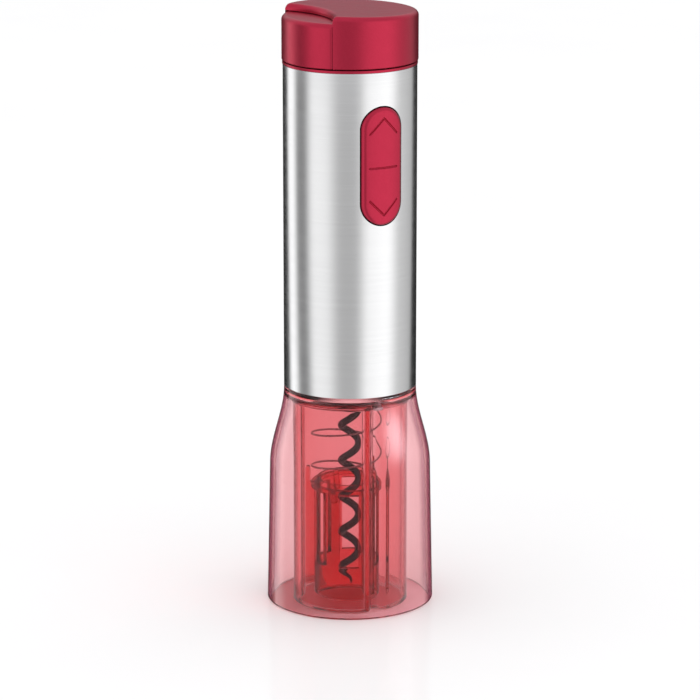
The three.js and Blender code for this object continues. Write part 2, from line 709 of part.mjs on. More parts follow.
function circuitBoard() {
  const reach = BUTTON_LENGTH / 2;
  return block(-boardHalf, boardHalf, boardFront, boardBack,
    BUTTON_CENTRE - reach + 1, BUTTON_CENTRE + reach + 1);
}

// Two cheeks hold the pivot pin, on a plate around the switches.
function buttonFrame() {
  const back = boardFront - GAP;
  const reach = BUTTON_LENGTH / 2 - 1;
  let frame = block(-boardHalf, boardHalf, back - 1.5, back,
    BUTTON_CENTRE - reach, BUTTON_CENTRE + reach);
  for (const side of [-1, 1]) {
    const z = BUTTON_CENTRE + side * SWITCH_OFFSET;
    const near = Math.min(side * 5.1, side * 6.9);
    frame = frame.subtract(block(-3.3, 3.3, back - 3, back + 1, z - 3.3, z + 3.3))
      .add(block(near, near + 1.8, pivotY - 1.9, back - 1, BUTTON_CENTRE - 3, BUTTON_CENTRE + 3));
  }
  return frame.subtract(rodX(PIN_RADIUS + RUNNING, -9, 9, pivotY, BUTTON_CENTRE));
}

// ---- Top ring, lid and latch ----
function topRing() {
  const inner = holderRadius + GAP;
  const lipRadius = TUBE_RADIUS + 0.2;
  const lipBottom = tubeTop + 0.05;
  const reach = hingeX + HINGE_KNUCKLE;
  const side = block(hingeX - 1.7, reach + 1, 2, HINGE_HALF_WIDTH + GAP, tubeTop - 1, hingeZ + 3);
  const knuckle = rodY(HINGE_KNUCKLE, -1.7, 1.7, hingeX, hingeZ)
    .add(block(inner + 0.5, hingeX, -1.7, 1.7, lipBottom, hingeZ));
  return ring(lipRadius, inner, lipBottom, tubeTop + RING_LIP)
    .add(ring(spigotRadius, inner, tubeTop - 5, lipBottom + 0.5))
    .subtract(side).subtract(side.mirror([0, 1, 0]))
    .add(knuckle)
    .subtract(rodY(HINGE_PIN + RUNNING, -9, 9, hingeX, hingeZ, 20));
}

// A cap outline with a rounded top edge, turned about the axis.
function capForm(radius, top, edge) {
  const profile = new THREE.Path();
  profile.moveTo(0, capBottom);
  profile.lineTo(radius, capBottom);
  profile.lineTo(radius - 0.15, top - edge);
  profile.absarc(radius - 0.15 - edge, top - edge, edge, 0, Math.PI / 2);
  profile.lineTo(0, top);
  return revolved(profile.getPoints(3));
}

// The cap's top falls towards the hinge: heights shear with the place across.
function leaning(geometry) {
  const slope = Math.tan(THREE.MathUtils.degToRad(CAP_TILT));
  const positions = geometry.attributes.position;
  for (let i = 0; i < positions.count; i += 1) {
    const height = positions.getZ(i) - capBottom - 3;
    const share = Math.max(height / (CAP_HEIGHT - 3), 0);
    positions.setZ(i, positions.getZ(i) - slope * positions.getX(i) * share);
  }
}

function arcColumn(extra, bottom, top) {
  return post(LATCH_ARC_RADIUS + extra, bottom, top, latchArcX - LATCH_ARC_RADIUS, 0, 72);
}

function batteryLid() {
  const inner = capRadius - CAP_WALL;
  const halfGap = LATCH_HALF_WIDTH + GAP;
  const latchRoom = block(-capRadius - 2, -LATCH_HALF_WIDTH / 2, -halfGap, halfGap,
    capBottom - 1, latchTop + GAP);
  let lid = capForm(capRadius, capTop, CAP_EDGE)
    .subtract(drum(inner, capBottom - 1, capPlate))
    .subtract(latchRoom.intersect(arcColumn(LATCH_UNDERLAP + LATCH_TRAVEL + GAP, 0, capTop)))
    .subtract(arcColumn(0, capBottom - 1, capTop + 2));
  lid = lid.subtract(block(hingeX - 3, capRadius + 3, -2, 2, capBottom - 1, hingeZ + 2.2));
  const arm = rodY(HINGE_KNUCKLE, 2, HINGE_HALF_WIDTH, hingeX, hingeZ)
    .add(block(hingeX - 1.2, hingeX + 0.4, 2, HINGE_HALF_WIDTH, hingeZ, hingeZ + 4));
  return lid.add(arm).add(arm.mirror([0, 1, 0]))
    .subtract(rodY(HINGE_PIN + RUNNING, -9, 9, hingeX, hingeZ, 20));
}

function lidLatch() {
  const reach = LATCH_HALF_WIDTH;
  const inner = capRadius - CAP_WALL;
  const plan = block(-capRadius - 1, 0, -reach, reach, capBottom - 1, capTop)
    .intersect(arcColumn(LATCH_UNDERLAP, 0, capTop));
  const front = TONGUE_SETBACK - holderRadius;
  const back = front + TONGUE_THICKNESS;
  const half = TONGUE_HALF_WIDTH;
  const tongue = block(front, back, -half, half, tubeTop - 0.5, capBottom + 2)
    .add(block(-inner - 0.5, back, -half, half, capBottom + GAP, capBottom + 2));
  return capForm(capRadius, latchTop, 2).subtract(drum(inner, capBottom - 1, latchPlate))
    .intersect(plan).add(tongue);
}

// A strip that joins two neighbouring cells' ends under the lid.
function lidContact(side) {
  const y = side * cellSpacing / 2 + CELL_SETBACK;
  const bottom = cellTop + CELL_NUB + 0.3;
  return block(-cellSpacing / 2 - 4, cellSpacing / 2 + 4, y - 3, y + 3, bottom, bottom + 0.5)
    .add(block(-1.5, 1.5, y - 1.5, y + 1.5, bottom, capPlate - 1));
}

function latchSpring() {
  const start = latchArcX - 0.1;
  return rodX(2, start, start + 5, 0, latchPlate - 4, 16)
    .subtract(rodX(1.4, start - 1, start + 6, 0, latchPlate - 4, 16));
}

// ---- The assembly ----
add('base_shell', baseShell(), CLEAR_RED);
add('neck_sleeve', neckSleeve(), CLEAR_RED);
THIRDS.forEach((azimuth, i) => add(`sleeve_screw_${i + 1}`, sleeveScrew(azimuth), PLATED));
add('deck_plate', deckPlate(), RED_PLASTIC);
add('steel_tube', steelTube(), STEEL);
add('cork_guide', corkGuide(), CLEAR_RED);
add('guide_spring', guideSpring(), PLATED);
add('corkscrew_worm', corkscrewWorm(), BLACK);
add('output_spindle', outputSpindle(), STEEL);
add('output_bush', outputBush(), BRONZE);
add('gearbox_housing', gearboxHousing(), BLACK);
add('gearbox_cover', gearboxCover(), BLACK);
THIRDS.forEach((azimuth, i) => add(`gearbox_screw_${i + 1}`, gearboxScrew(azimuth), PLATED));
add('stage_2_carrier', carrier(carrier2Bottom, planet2Top + 0.6, 1.5), STEEL);
add('stage_1_carrier', carrier(carrier1Bottom, planet1Top + 0.6, 1.5), STEEL);
add('stage_2_sun', gear(SUN_TEETH, planet2Bottom, carrier1Bottom - 0.05, sunPhase), STEEL);
add('motor_pinion', motorPinion(), BRONZE);
['a', 'b', 'c'].forEach((letter, i) => {
  add(`stage_2_planet_${letter}`, planet(i, planet2Bottom, planet2Top), NYLON);
  add(`stage_1_planet_${letter}`, planet(i, planet1Bottom, planet1Top), NYLON);
});
add('motor_bracket', motorBracket(), BLACK);
add('motor_can', motorCan(), PLATED);
add('motor_end_cap', motorEndCap(), BLACK);
add('motor_rotor', motorRotor(), STEEL);
add('battery_holder', batteryHolder(), BLACK);
CELLS.forEach((_, cell) => add(`battery_${cell + 1}`, battery(cell), CELL_WRAP));
add('contact_spring_1', contactSpring(0), NICKEL);
add('contact_spring_2', contactSpring(2), NICKEL);
add('contact_tab_1', contactTab(1), NICKEL);
add('contact_tab_2', contactTab(3), NICKEL);
add('circuit_board', circuitBoard(), BOARD);
add('switch_up', tactSwitch(1), BLACK);
add('switch_down', tactSwitch(-1), BLACK);
add('button_frame', buttonFrame(), BLACK);
add('button_pivot_pin', rodX(PIN_RADIUS, -6.8, 6.8, pivotY, BUTTON_CENTRE), PLATED);
add('rocker_button', rockerButton(), SATIN_RED);
add('top_ring', topRing(), SATIN_RED);
add('lid_hinge_pin', rodY(HINGE_PIN, -HINGE_HALF_WIDTH + 0.2, HINGE_HALF_WIDTH - 0.2,
  hingeX, hingeZ, 20), PLATED);
add('battery_lid', batteryLid(), SATIN_RED, leaning);
add('lid_latch', lidLatch(), SATIN_RED, leaning);
add('latch_spring', latchSpring(), PLATED);
add('lid_contact_1', lidContact(-1), NICKEL);
add('lid_contact_2', lidContact(1), NICKEL);

export default opener;
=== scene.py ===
"""Electric wine opener: its looks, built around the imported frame.

Sections follow the assembly from the floor up: stage, clear base, screw and
guide, body tube, key, lid and latch, and the works inside the tube.
"""
import json

import bmesh
import bpy
import numpy as np
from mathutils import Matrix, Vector


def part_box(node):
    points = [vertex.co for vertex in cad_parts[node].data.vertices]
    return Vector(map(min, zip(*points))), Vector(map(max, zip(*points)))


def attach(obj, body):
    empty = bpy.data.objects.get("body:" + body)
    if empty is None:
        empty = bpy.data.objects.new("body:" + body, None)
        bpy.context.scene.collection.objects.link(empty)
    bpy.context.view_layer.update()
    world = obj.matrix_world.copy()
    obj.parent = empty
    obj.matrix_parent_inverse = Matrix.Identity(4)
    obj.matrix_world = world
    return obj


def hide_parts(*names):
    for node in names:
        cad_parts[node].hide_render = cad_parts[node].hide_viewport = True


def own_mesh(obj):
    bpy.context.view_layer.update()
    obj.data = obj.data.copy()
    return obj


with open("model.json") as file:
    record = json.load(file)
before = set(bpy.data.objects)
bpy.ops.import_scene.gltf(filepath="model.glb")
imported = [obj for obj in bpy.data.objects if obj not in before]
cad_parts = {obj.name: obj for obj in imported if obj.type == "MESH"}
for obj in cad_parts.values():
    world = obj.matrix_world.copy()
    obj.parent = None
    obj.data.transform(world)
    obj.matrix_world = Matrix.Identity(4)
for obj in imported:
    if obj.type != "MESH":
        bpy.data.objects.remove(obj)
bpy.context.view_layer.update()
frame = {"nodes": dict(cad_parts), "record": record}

# ---- Studio ----------------------------------------------------------------
# A white sweep under a wide white tent. Beside and below the lens the tent has
# grey and black flags, which draw the upright bands on the steel and the clear base.
CAMERA_DISTANCE = 1.29987
CAMERA_HEIGHT = 0.42979
CAMERA_AZIMUTH = np.radians(-28.6)
CAMERA_PITCH = np.radians(14.369)
LENS = 182.51
TENT_PEAK = 1.6
SWEEP_POWER = 1.12
WALL_GLOW = 0.5

camera_data = bpy.data.cameras.new("camera")
camera_data.lens = LENS
camera_data.sensor_width = 36.0
camera_data.clip_start = 0.05
camera_data.clip_end = 20.0
camera = bpy.data.objects.new("camera", camera_data)
camera.location = (
    CAMERA_DISTANCE * np.sin(CAMERA_AZIMUTH),
    -CAMERA_DISTANCE * np.cos(CAMERA_AZIMUTH),
    CAMERA_HEIGHT,
)
camera.rotation_euler = (np.pi / 2 - CAMERA_PITCH, 0.0, CAMERA_AZIMUTH)
bpy.context.collection.objects.link(camera)
bpy.context.scene.camera = camera
bpy.context.scene.view_settings.view_transform = "Standard"
bpy.context.scene.cycles.max_bounces = 32
bpy.context.scene.cycles.transmission_bounces = 32


def node(tree, kind, **values):
    """A shader node with its properties, or its input sockets, set by name."""
    made = tree.nodes.new(kind)
    for name, value in values.items():
        if hasattr(made, name):
            setattr(made, name, value)
        else:
            made.inputs[name.replace("_", " ")].default_value = value
    return made


def ramp(tree, stops, source, interpolation="LINEAR"):
    """A colour ramp through (position, grey or colour) stops, fed by a socket."""
    made = tree.nodes.new("ShaderNodeValToRGB")
    made.color_ramp.interpolation = interpolation
    elements = made.color_ramp.elements
    while len(elements) < len(stops):
        elements.new(0.5)
    for element, (position, value) in zip(elements, stops):
        element.position = position
        shade = (value, value, value) if np.isscalar(value) else value
        element.color = (*shade, 1.0)
    tree.links.new(source, made.inputs["Fac"])
    return made.outputs["Color"]


def studio_world():
    """A tent of bright and dark bands for mirror images, and an even white for all else.

    The bands go by compass angle, and fade to one grey above. A mirror seen through a
    clear wall has one soft grey in place of them.

    The angle is the arc tangent of the direction's two level parts, over a full
    turn, so that a half is the lens and 0 and 1 are straight behind the object.
    """
    world = bpy.data.worlds.new("tent")
    bpy.context.scene.world = world
    world.use_nodes = True
    tree = world.node_tree
    tree.nodes.clear()
    link = tree.links.new
    where = node(tree, "ShaderNodeTexCoord")
    turn = node(tree, "ShaderNodeMapping", vector_type="POINT")
    turn.inputs["Rotation"].default_value = (0.0, 0.0, -CAMERA_AZIMUTH)
    link(where.outputs["Generated"], turn.inputs["Vector"])
    parts = node(tree, "ShaderNodeSeparateXYZ")
    link(turn.outputs["Vector"], parts.inputs["Vector"])
    backwards = node(tree, "ShaderNodeMath", operation="MULTIPLY")
    backwards.inputs[1].default_value = -1.0
    link(parts.outputs["Y"], backwards.inputs[0])
    angle = node(tree, "ShaderNodeMath", operation="ARCTAN2")
    link(parts.outputs["X"], angle.inputs[0])
    link(backwards.outputs[0], angle.inputs[1])
    share = node(tree, "ShaderNodeMath", operation="MULTIPLY_ADD")
    share.inputs[1].default_value = 1 / (2 * np.pi)
    share.inputs[2].default_value = 0.5
    link(angle.outputs[0], share.inputs[0])
    degrees = [
        (-180, 0.02), (-136, 0.02), (-128, 1.60), (-114, 1.60), (-100, 0.30), (-86, 0.30),
        (-66, 1.35), (-46, 1.30), (-14, 0.64), (8, 0.64), (34, 1.45), (68, 1.60),
        (100, 0.82), (130, 0.66), (138, 0.02), (180, 0.02),
    ]
    bands = ramp(tree, [((d + 180) / 360, b / TENT_PEAK) for d, b in degrees], share.outputs[0], "EASE")
    height = node(tree, "ShaderNodeMapRange")
    height.inputs["From Min"].default_value = 0.05
    height.inputs["From Max"].default_value = 0.45
    link(parts.outputs["Z"], height.inputs["Value"])
    tent = node(tree, "ShaderNodeMix", data_type="RGBA")
    link(height.outputs["Result"], tent.inputs["Factor"])
    link(bands, tent.inputs["A"])
    tent.inputs["B"].default_value = (0.58, 0.58, 0.60, 1.0)
    mirrored = node(tree, "ShaderNodeBackground", Strength=TENT_PEAK)
    link(tent.outputs["Result"], mirrored.inputs["Color"])
    sweep = node(tree, "ShaderNodeBackground", Color=(1, 1, 1, 1), Strength=SWEEP_POWER)
    path = node(tree, "ShaderNodeLightPath")
    inside = node(tree, "ShaderNodeMath", operation="GREATER_THAN")
    inside.inputs[1].default_value = 0.5
    link(path.outputs["Transmission Depth"], inside.inputs[0])
    through_wall = node(tree, "ShaderNodeBackground", Color=(1, 1, 1, 1), Strength=WALL_GLOW)
    mirrors = node(tree, "ShaderNodeMixShader")
    link(inside.outputs[0], mirrors.inputs[0])
    link(mirrored.outputs[0], mirrors.inputs[1])
    link(through_wall.outputs[0], mirrors.inputs[2])
    in_mirror = node(tree, "ShaderNodeMixShader")
    link(path.outputs["Is Glossy Ray"], in_mirror.inputs[0])
    link(sweep.outputs[0], in_mirror.inputs[1])
    link(mirrors.outputs[0], in_mirror.inputs[2])
    out = node(tree, "ShaderNodeOutputWorld")
    link(in_mirror.outputs[0], out.inputs["Surface"])


studio_world()


def new_mesh(name, points, faces):
    """A smooth mesh object at the origin from arrays of points and faces."""
    mesh = bpy.data.meshes.new(name)
    mesh.from_pydata(points.tolist(), [], faces.tolist())
    mesh.validate()
    mesh.update()
    mesh.polygons.foreach_set("use_smooth", [True] * len(mesh.polygons))
    made = bpy.data.objects.new(name, mesh)
    bpy.context.collection.objects.link(made)
    return made


def principled(name, **values):
    """A material whose one Principled node has the given plain socket values."""
    made = bpy.data.materials.new(name)
    made.use_nodes = True
    tree = made.node_tree
    shader = tree.nodes["Principled BSDF"]
    for socket, value in values.items():
        shader.inputs[socket.replace("_", " ")].default_value = value
    return made, tree, shader


def noise(tree, scale, stretch=(1, 1, 1), detail=3.0, roughness=0.55):
    """Object-space noise, stretched by a share along each axis."""
    where = node(tree, "ShaderNodeTexCoord")
    placed = node(tree, "ShaderNodeMapping")
    placed.inputs["Scale"].default_value = stretch
    tree.links.new(where.outputs["Object"], placed.inputs["Vector"])
    made = node(tree, "ShaderNodeTexNoise", Scale=scale, Detail=detail, Roughness=roughness)
    tree.links.new(placed.outputs["Vector"], made.inputs["Vector"])
    return made.outputs["Fac"]


def bump(tree, shader, height, strength, distance):
    """Adds a height socket to the shader's normal, after any bump already there."""
    made = node(tree, "ShaderNodeBump", Strength=strength, Distance=distance)
    tree.links.new(height, made.inputs["Height"])
    normal = shader.inputs["Normal"]
    if normal.is_linked:
        tree.links.new(normal.links[0].from_socket, made.inputs["Normal"])
    tree.links.new(made.outputs["Normal"], normal)


def floor_finish():
    """White laminate, faintly mottled, with a soft mirror coat."""
    made, tree, shader = principled("white_sweep", Specular_IOR_Level=0.0, Roughness=0.6)
    link = tree.links.new
    shade = ramp(tree, [(0.3, (0.955, 0.955, 0.96)), (0.7, (0.975, 0.975, 0.98))], noise(tree, 6.0))
    link(shade, shader.inputs["Base Color"])
    mirror = node(tree, "ShaderNodeBsdfGlossy", Color=(1, 1, 1, 1))
    link(ramp(tree, [(0.2, 0.08), (0.8, 0.12)], noise(tree, 9.0)), mirror.inputs["Roughness"])
    both = node(tree, "ShaderNodeMixShader", Fac=0.10)
    link(shader.outputs[0], both.inputs[1])
    link(mirror.outputs[0], both.inputs[2])
    link(both.outputs[0], tree.nodes["Material Output"].inputs["Surface"])
    return made


FLOOR_HALF = 4.0
FLOOR_SINK = 0.0002
corners = np.array([[-1, -1, 0], [1, -1, 0], [1, 1, 0], [-1, 1, 0]]) * FLOOR_HALF
floor = new_mesh("floor", corners - [0, 0, FLOOR_SINK], np.array([[0, 1, 2, 3]]))
floor.data.materials.append(floor_finish())
floor.visible_glossy = False

# ---- Base shell ------------------------------------------------------------
# The flared foot is one clear red moulding, 1.9 mm thick, open at the bottom. An
# inner ledge at its top is clamped between the neck sleeve and the deck plate.
MM = 0.001


def closed_sheet(name, surface, rows, columns):
    """A sheet that closes on itself both ways: each row and column joins its first.

    surface maps two arrays of whole numbers, the row and the column, to points.
    """
    row, column = np.meshgrid(np.arange(rows), np.arange(columns), indexing="ij")
    points = surface(row, column).reshape(-1, 3)
    here = row * columns + column
    right = row * columns + (column + 1) % columns
    above = (row + 1) % rows * columns + column
    beyond = (row + 1) % rows * columns + (column + 1) % columns
    faces = np.stack([here, right, beyond, above], axis=-1).reshape(-1, 4)
    return new_mesh(name, points, faces)


def rounded(points, radius, steps=4):
    """A closed outline with each corner cut back and bridged by a short curve.

    Each corner becomes a quadratic curve between two points that lie the radius,
    or under half the side if that is shorter, from it along its two sides.
    """
    corners = np.asarray(points, float)
    before = np.roll(corners, 1, axis=0) - corners
    after = np.roll(corners, -1, axis=0) - corners
    long_before = np.linalg.norm(before, axis=1, keepdims=True)
    long_after = np.linalg.norm(after, axis=1, keepdims=True)
    reach = np.minimum(radius, 0.45 * np.minimum(long_before, long_after))
    start = corners + before / long_before * reach
    end = corners + after / long_after * reach
    t = np.linspace(0, 1, steps + 1)[None, :, None]
    curve = (1 - t) ** 2 * start[:, None] + 2 * t * (1 - t) * corners[:, None] + t**2 * end[:, None]
    return curve.reshape(-1, 2)


def turned(name, outline, segments=192):
    """A closed outline of radii and heights, anticlockwise, carried round the upright axis."""
    profile = np.asarray(outline, float)

    def surface(row, column):
        """The row's radius turned by the column's share of a full turn, at the row's height."""
        angle = 2 * np.pi * column / segments
        radius, height = profile[row, 0], profile[row, 1]
        return np.stack([radius * np.cos(angle), radius * np.sin(angle), height], axis=-1)

    return closed_sheet(name, surface, len(profile), segments)


def shell_radius(z):
    """The outside: straight flare up to the shoulder, then an ease-in ease-out curve."""
    rise = np.clip((SHOULDER_TOP - z) / (SHOULDER_TOP - SHOULDER_BOTTOM), 0, 1)
    shoulder = WAIST + (SKIRT - WAIST) * rise**2 * (3 - 2 * rise)
    flare = SKIRT + (FOOT - SKIRT) * (1 - z / SHOULDER_BOTTOM)
    return np.where(z < SHOULDER_BOTTOM, flare, shoulder)


shell_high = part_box("base_shell")[1]
FOOT = shell_high[0]
SKIRT = FOOT - 1.13 * MM
WAIST = 25.0 * MM
SHOULDER_BOTTOM = 53 * MM
SHOULDER_TOP = 83 * MM
WALL = 1.9 * MM
LEDGE_INNER = 18.3 * MM
LEDGE_BOTTOM = shell_high[2] - 2.6 * MM
LEDGE_TOP = shell_high[2] - 1.6 * MM


def base_shell():
    """Outer wall upwards, then the inner wall and the ledge downwards."""
    shoulder = np.linspace(SHOULDER_BOTTOM * 0.96, SHOULDER_TOP, 26)
    straight = np.linspace(0, SHOULDER_BOTTOM * 0.96, 6, endpoint=False)[1:]
    levels = np.concatenate([straight, shoulder])
    outer = np.column_stack([shell_radius(levels), levels])
    inner = outer[levels < LEDGE_BOTTOM - MM][::-1] - [WALL, 0]
    edge = shell_radius(LEDGE_BOTTOM) - WALL
    top = shell_high[2]
    rim = rounded([[FOOT, 0], [FOOT, 2 * MM], [FOOT - WALL, 2 * MM], [FOOT - WALL, 0]], 0.5 * MM)
    outline = [rim[15:20], rim[0:5], outer]
    outline.append([[WAIST, top], [WAIST - WALL, top], [edge, LEDGE_TOP], [LEDGE_INNER, LEDGE_TOP]])
    outline.append([[LEDGE_INNER, LEDGE_BOTTOM], [edge, LEDGE_BOTTOM]])
    outline.append(inner)
    return turned("base_shell_clear", np.concatenate(outline))


def clear_red(name, depth_density, gloss, haze=0.0):
    """Clear red moulding: smooth faces, faint flow ripples, colour by depth of material.

    Seen edge on, its base colour is painted dark maroon: painted shade for its dark outline. Lamps' rays
    pass it as tinted light, as they do through a thin clear wall.
    """
    made, tree, shader = principled(
        name, Transmission_Weight=1.0, IOR=1.48, Specular_Tint=(gloss, gloss, gloss, 1),
        Coat_Weight=haze, Coat_Roughness=0.34)
    link = tree.links.new
    # Painted shade: the base colour turns dark maroon where the wall is seen edge on, for the dark
    # outline.
    painted_edge_shade = node(tree, "ShaderNodeLayerWeight", Blend=0.5)
    link(ramp(tree, [(0.60, (0.99, 0.97, 0.98)), (0.74, (0.26, 0.08, 0.16))], painted_edge_shade.outputs["Facing"]),
         shader.inputs["Base Color"])
    link(ramp(tree, [(0.3, 0.01), (0.75, 0.04)], noise(tree, 60.0)), shader.inputs["Roughness"])
    bump(tree, shader, noise(tree, 30.0, (1, 1, 0.35), 1.0), 0.05, 0.0004)
    passed = node(tree, "ShaderNodeBsdfTransparent", Color=(0.97, 0.80, 0.82, 1))
    path = node(tree, "ShaderNodeLightPath")
    both = node(tree, "ShaderNodeMixShader")
    link(path.outputs["Is Shadow Ray"], both.inputs[0])
    link(shader.outputs[0], both.inputs[1])
    link(passed.outputs[0], both.inputs[2])
    out = tree.nodes["Material Output"]
    link(both.outputs[0], out.inputs["Surface"])
    depth = node(tree, "ShaderNodeVolumeAbsorption", Color=(0.90, 0.05, 0.09, 1), Density=depth_density)
    link(depth.outputs[0], out.inputs["Volume"])
    return made


def finished(piece, material, body, slot, *nodes):
    """Gives a piece its material and body, and stands it for CAD nodes. The slot is not used."""
    piece.data.materials.append(material)
    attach(piece, body)
    if nodes:
        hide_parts(*nodes)
    return piece


PANEL_AZIMUTH = np.radians(72)
PANEL_RISE = np.radians(14)
PANEL_WIDTH = 0.32
PANEL_HEIGHT = 0.22
PANEL_POWER = 4.5
PANEL_DISTANCE = 0.3
SHOULDER_HEIGHT = 67 * MM


def shoulder_lamp(shell):
    """A soft panel to the right that lights only the shell, for the glow on its shoulder.

    It fades from its middle to its edges, so that its mirror image has no outline.
    """
    azimuth, rise = PANEL_AZIMUTH + CAMERA_AZIMUTH, PANEL_RISE
    toward = np.array([np.cos(rise) * np.sin(azimuth), -np.cos(rise) * np.cos(azimuth), np.sin(rise)])
    panel = bpy.data.lights.new("shoulder_panel", "AREA")
    panel.energy = PANEL_POWER
    panel.shape = "RECTANGLE"
    panel.size, panel.size_y = PANEL_WIDTH, PANEL_HEIGHT
    panel.use_nodes = True
    tree = panel.node_tree
    across = node(tree, "ShaderNodeNewGeometry")
    offset = node(tree, "ShaderNodeVectorMath", operation="DISTANCE")
    offset.inputs[1].default_value = (0.5, 0.5, 0.0)
    tree.links.new(across.outputs["Parametric"], offset.inputs[0])
    fade = node(tree, "ShaderNodeMapRange", interpolation_type="SMOOTHSTEP")
    fade.inputs["From Min"].default_value = 0.48
    fade.inputs["From Max"].default_value = 0.0
    tree.links.new(offset.outputs["Value"], fade.inputs["Value"])
    tree.links.new(fade.outputs["Result"], tree.nodes["Emission"].inputs["Strength"])
    panel.color = (0.92, 0.93, 1.0)
    lamp = bpy.data.objects.new("shoulder_panel", panel)
    lamp.location = toward * PANEL_DISTANCE + [0, 0, SHOULDER_HEIGHT]
    lamp.rotation_euler = (np.pi / 2 - rise, 0.0, azimuth)
    lamp.visible_camera = lamp.visible_transmission = lamp.visible_diffuse = False
    bpy.context.collection.objects.link(lamp)
    lit = bpy.data.collections.new("lit_by_panel")
    lit.objects.link(shell)
    lamp.light_linking.receiver_collection = lit


shell = base_shell()
finished(shell, clear_red("clear_red", 155.0, 0.35, 0.25), "body", "clear_red", "base_shell")
shoulder_lamp(shell)

# ---- Neck sleeve -----------------------------------------------------------
# A second clear red tube inside the shell slips over the bottle's neck. Three
# half-round flutes run up it, and the screws that hold it sit at their tops.
sleeve_low, sleeve_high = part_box("neck_sleeve")
SLEEVE = 21.7 * MM
SLEEVE_WALL = 1.7 * MM
FLUTE_DEPTH = 3.3 * MM
RIDGE_DEPTH = 2.55 * MM
FLUTE_HALF = np.radians(6.6)
RIDGE_HALF = np.radians(10.2)
PLATE = 1.1 * MM
PLATE_BORE = 17.5 * MM


def flute(angle, half):
    """1 in the middle of a flute and 0 between flutes: a fourth-power bell."""
    third = 2 * np.pi / 3
    offset = (angle + np.pi / 2 + third / 2) % third - third / 2
    return np.exp(-np.log(2) * (offset / half) ** 4)


def neck_sleeve():
    """Wall outside upwards, plate, and wall inside downwards, at each angle round."""
    segments = 720
    low, high = sleeve_low[2], sleeve_high[2]
    plate_bottom = high - PLATE
    plate_outer = sleeve_high[0]
    edge = 0.35 * MM
    outside, inside = SLEEVE, SLEEVE - SLEEVE_WALL
    rows = [
        (outside - edge, low, 1, 0), (outside, low + edge, 1, 0), (outside, low + 2 * MM, 1, 0),
        (outside, (low + high) / 2, 1, 0), (outside, plate_bottom - 2 * MM, 1, 0),
        (outside, plate_bottom, 1, 0), (outside + edge, plate_bottom, 0, 0),
        (plate_outer, plate_bottom, 0, 0), (plate_outer, high, 0, 0), (PLATE_BORE, high, 0, 0),
        (PLATE_BORE, plate_bottom, 0, 0), (inside, plate_bottom, 0, 1),
        (inside, plate_bottom - 2 * MM, 0, 1), (inside, (low + high) / 2, 0, 1),
        (inside, low + 2 * MM, 0, 1), (inside, low + edge, 0, 1), (inside + edge, low, 0, 1),
    ]
    table = np.array(rows)

    def surface(row, column):
        """The row's radius, less the flutes outside or the ridges inside, turned round."""
        angle = 2 * np.pi * column / segments
        radius = table[row, 0] - FLUTE_DEPTH * table[row, 2] * flute(angle, FLUTE_HALF)
        radius = radius - RIDGE_DEPTH * table[row, 3] * flute(angle, RIDGE_HALF)
        return np.stack([radius * np.cos(angle), radius * np.sin(angle), table[row, 1]], axis=-1)

    return closed_sheet("neck_sleeve_clear", surface, len(table), segments)


finished(neck_sleeve(), clear_red("clear_red_sleeve", 320.0, 0.15), "body", "clear_red", "neck_sleeve")

# ---- Cork guide ------------------------------------------------------------
# The sliding cage is moulded in one piece: a bored tube with six windows, three
# fins that run along the sleeve's ridges, a flange for the spring and a collar.
guide_low, guide_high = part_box("cork_guide")
BORE = 11.7 * MM
GUIDE = 13.7 * MM
FLANGE = 14.9 * MM
FLANGE_BOTTOM = 44.1 * MM
FLANGE_TOP = 45.6 * MM
COLLAR = 12.6 * MM
COLLAR_TOP = 47.3 * MM
GUIDE_BOTTOM = guide_low[2]
FIN_REACH = 17.0 * MM
FIN = 1.8 * MM
FIN_BOTTOM = 5 * MM
RIB = 2.0 * MM
RIB_BOTTOM = 40 * MM
RIB_TOP = 47 * MM
WINDOW = 7.0 * MM
WINDOW_BOTTOM = 14.8 * MM
WINDOW_TOP = 43.3 * MM


def plate_solid(name, outline, width, azimuth):
    """An outline of reach and height, drawn at an azimuth from the front and given a width."""
    outline = np.asarray(outline, float)
    count = len(outline)
    sides = []
    for half in (-width / 2, width / 2):
        sides.append(np.column_stack([np.full(count, half), -outline[:, 0], outline[:, 1]]))
    points = np.concatenate(sides)
    cosine, sine = np.cos(azimuth), np.sin(azimuth)
    points = points @ np.array([[cosine, sine, 0], [-sine, cosine, 0], [0, 0, 1]])
    index = np.arange(count)
    after = (index + 1) % count
    faces = [[a, b, b + count, a + count] for a, b in zip(index, after)]
    faces.append(list(index[::-1]))
    faces.append(list(index + count))
    mesh = bpy.data.meshes.new(name)
    mesh.from_pydata(points.tolist(), [], [[int(i) for i in face] for face in faces])
    mesh.update()
    return mesh


def joined(name, meshes):
    """Several meshes as one flat-faced object at the origin."""
    points, faces = [], []
    for mesh in meshes:
        start = len(points)
        points += [tuple(v.co) for v in mesh.vertices]
        faces += [[start + i for i in face.vertices] for face in mesh.polygons]
    made = bpy.data.meshes.new(name)
    made.from_pydata(points, [], faces)
    made.update()
    piece = bpy.data.objects.new(name, made)
    bpy.context.collection.objects.link(piece)
    return piece


def outward(piece):
    """Turns all faces of closed solids to point out, and applies it to the mesh."""
    work = bmesh.new()
    work.from_mesh(piece.data)
    bmesh.ops.remove_doubles(work, verts=work.verts, dist=1e-7)
    bmesh.ops.recalc_face_normals(work, faces=work.faces)
    work.to_mesh(piece.data)
    work.free()
    return piece


def carved(piece, tool, operation):
    """Joins or cuts a piece with a tool solid for good, and drops the tool."""
    outward(tool)
    step = piece.modifiers.new("carve", "BOOLEAN")
    step.object = tool
    step.operation = operation
    step.solver = "EXACT"
    depsgraph = bpy.context.evaluated_depsgraph_get()
    result = bpy.data.meshes.new_from_object(piece.evaluated_get(depsgraph))
    piece.modifiers.clear()
    piece.data = result
    bpy.data.objects.remove(tool)
    return piece


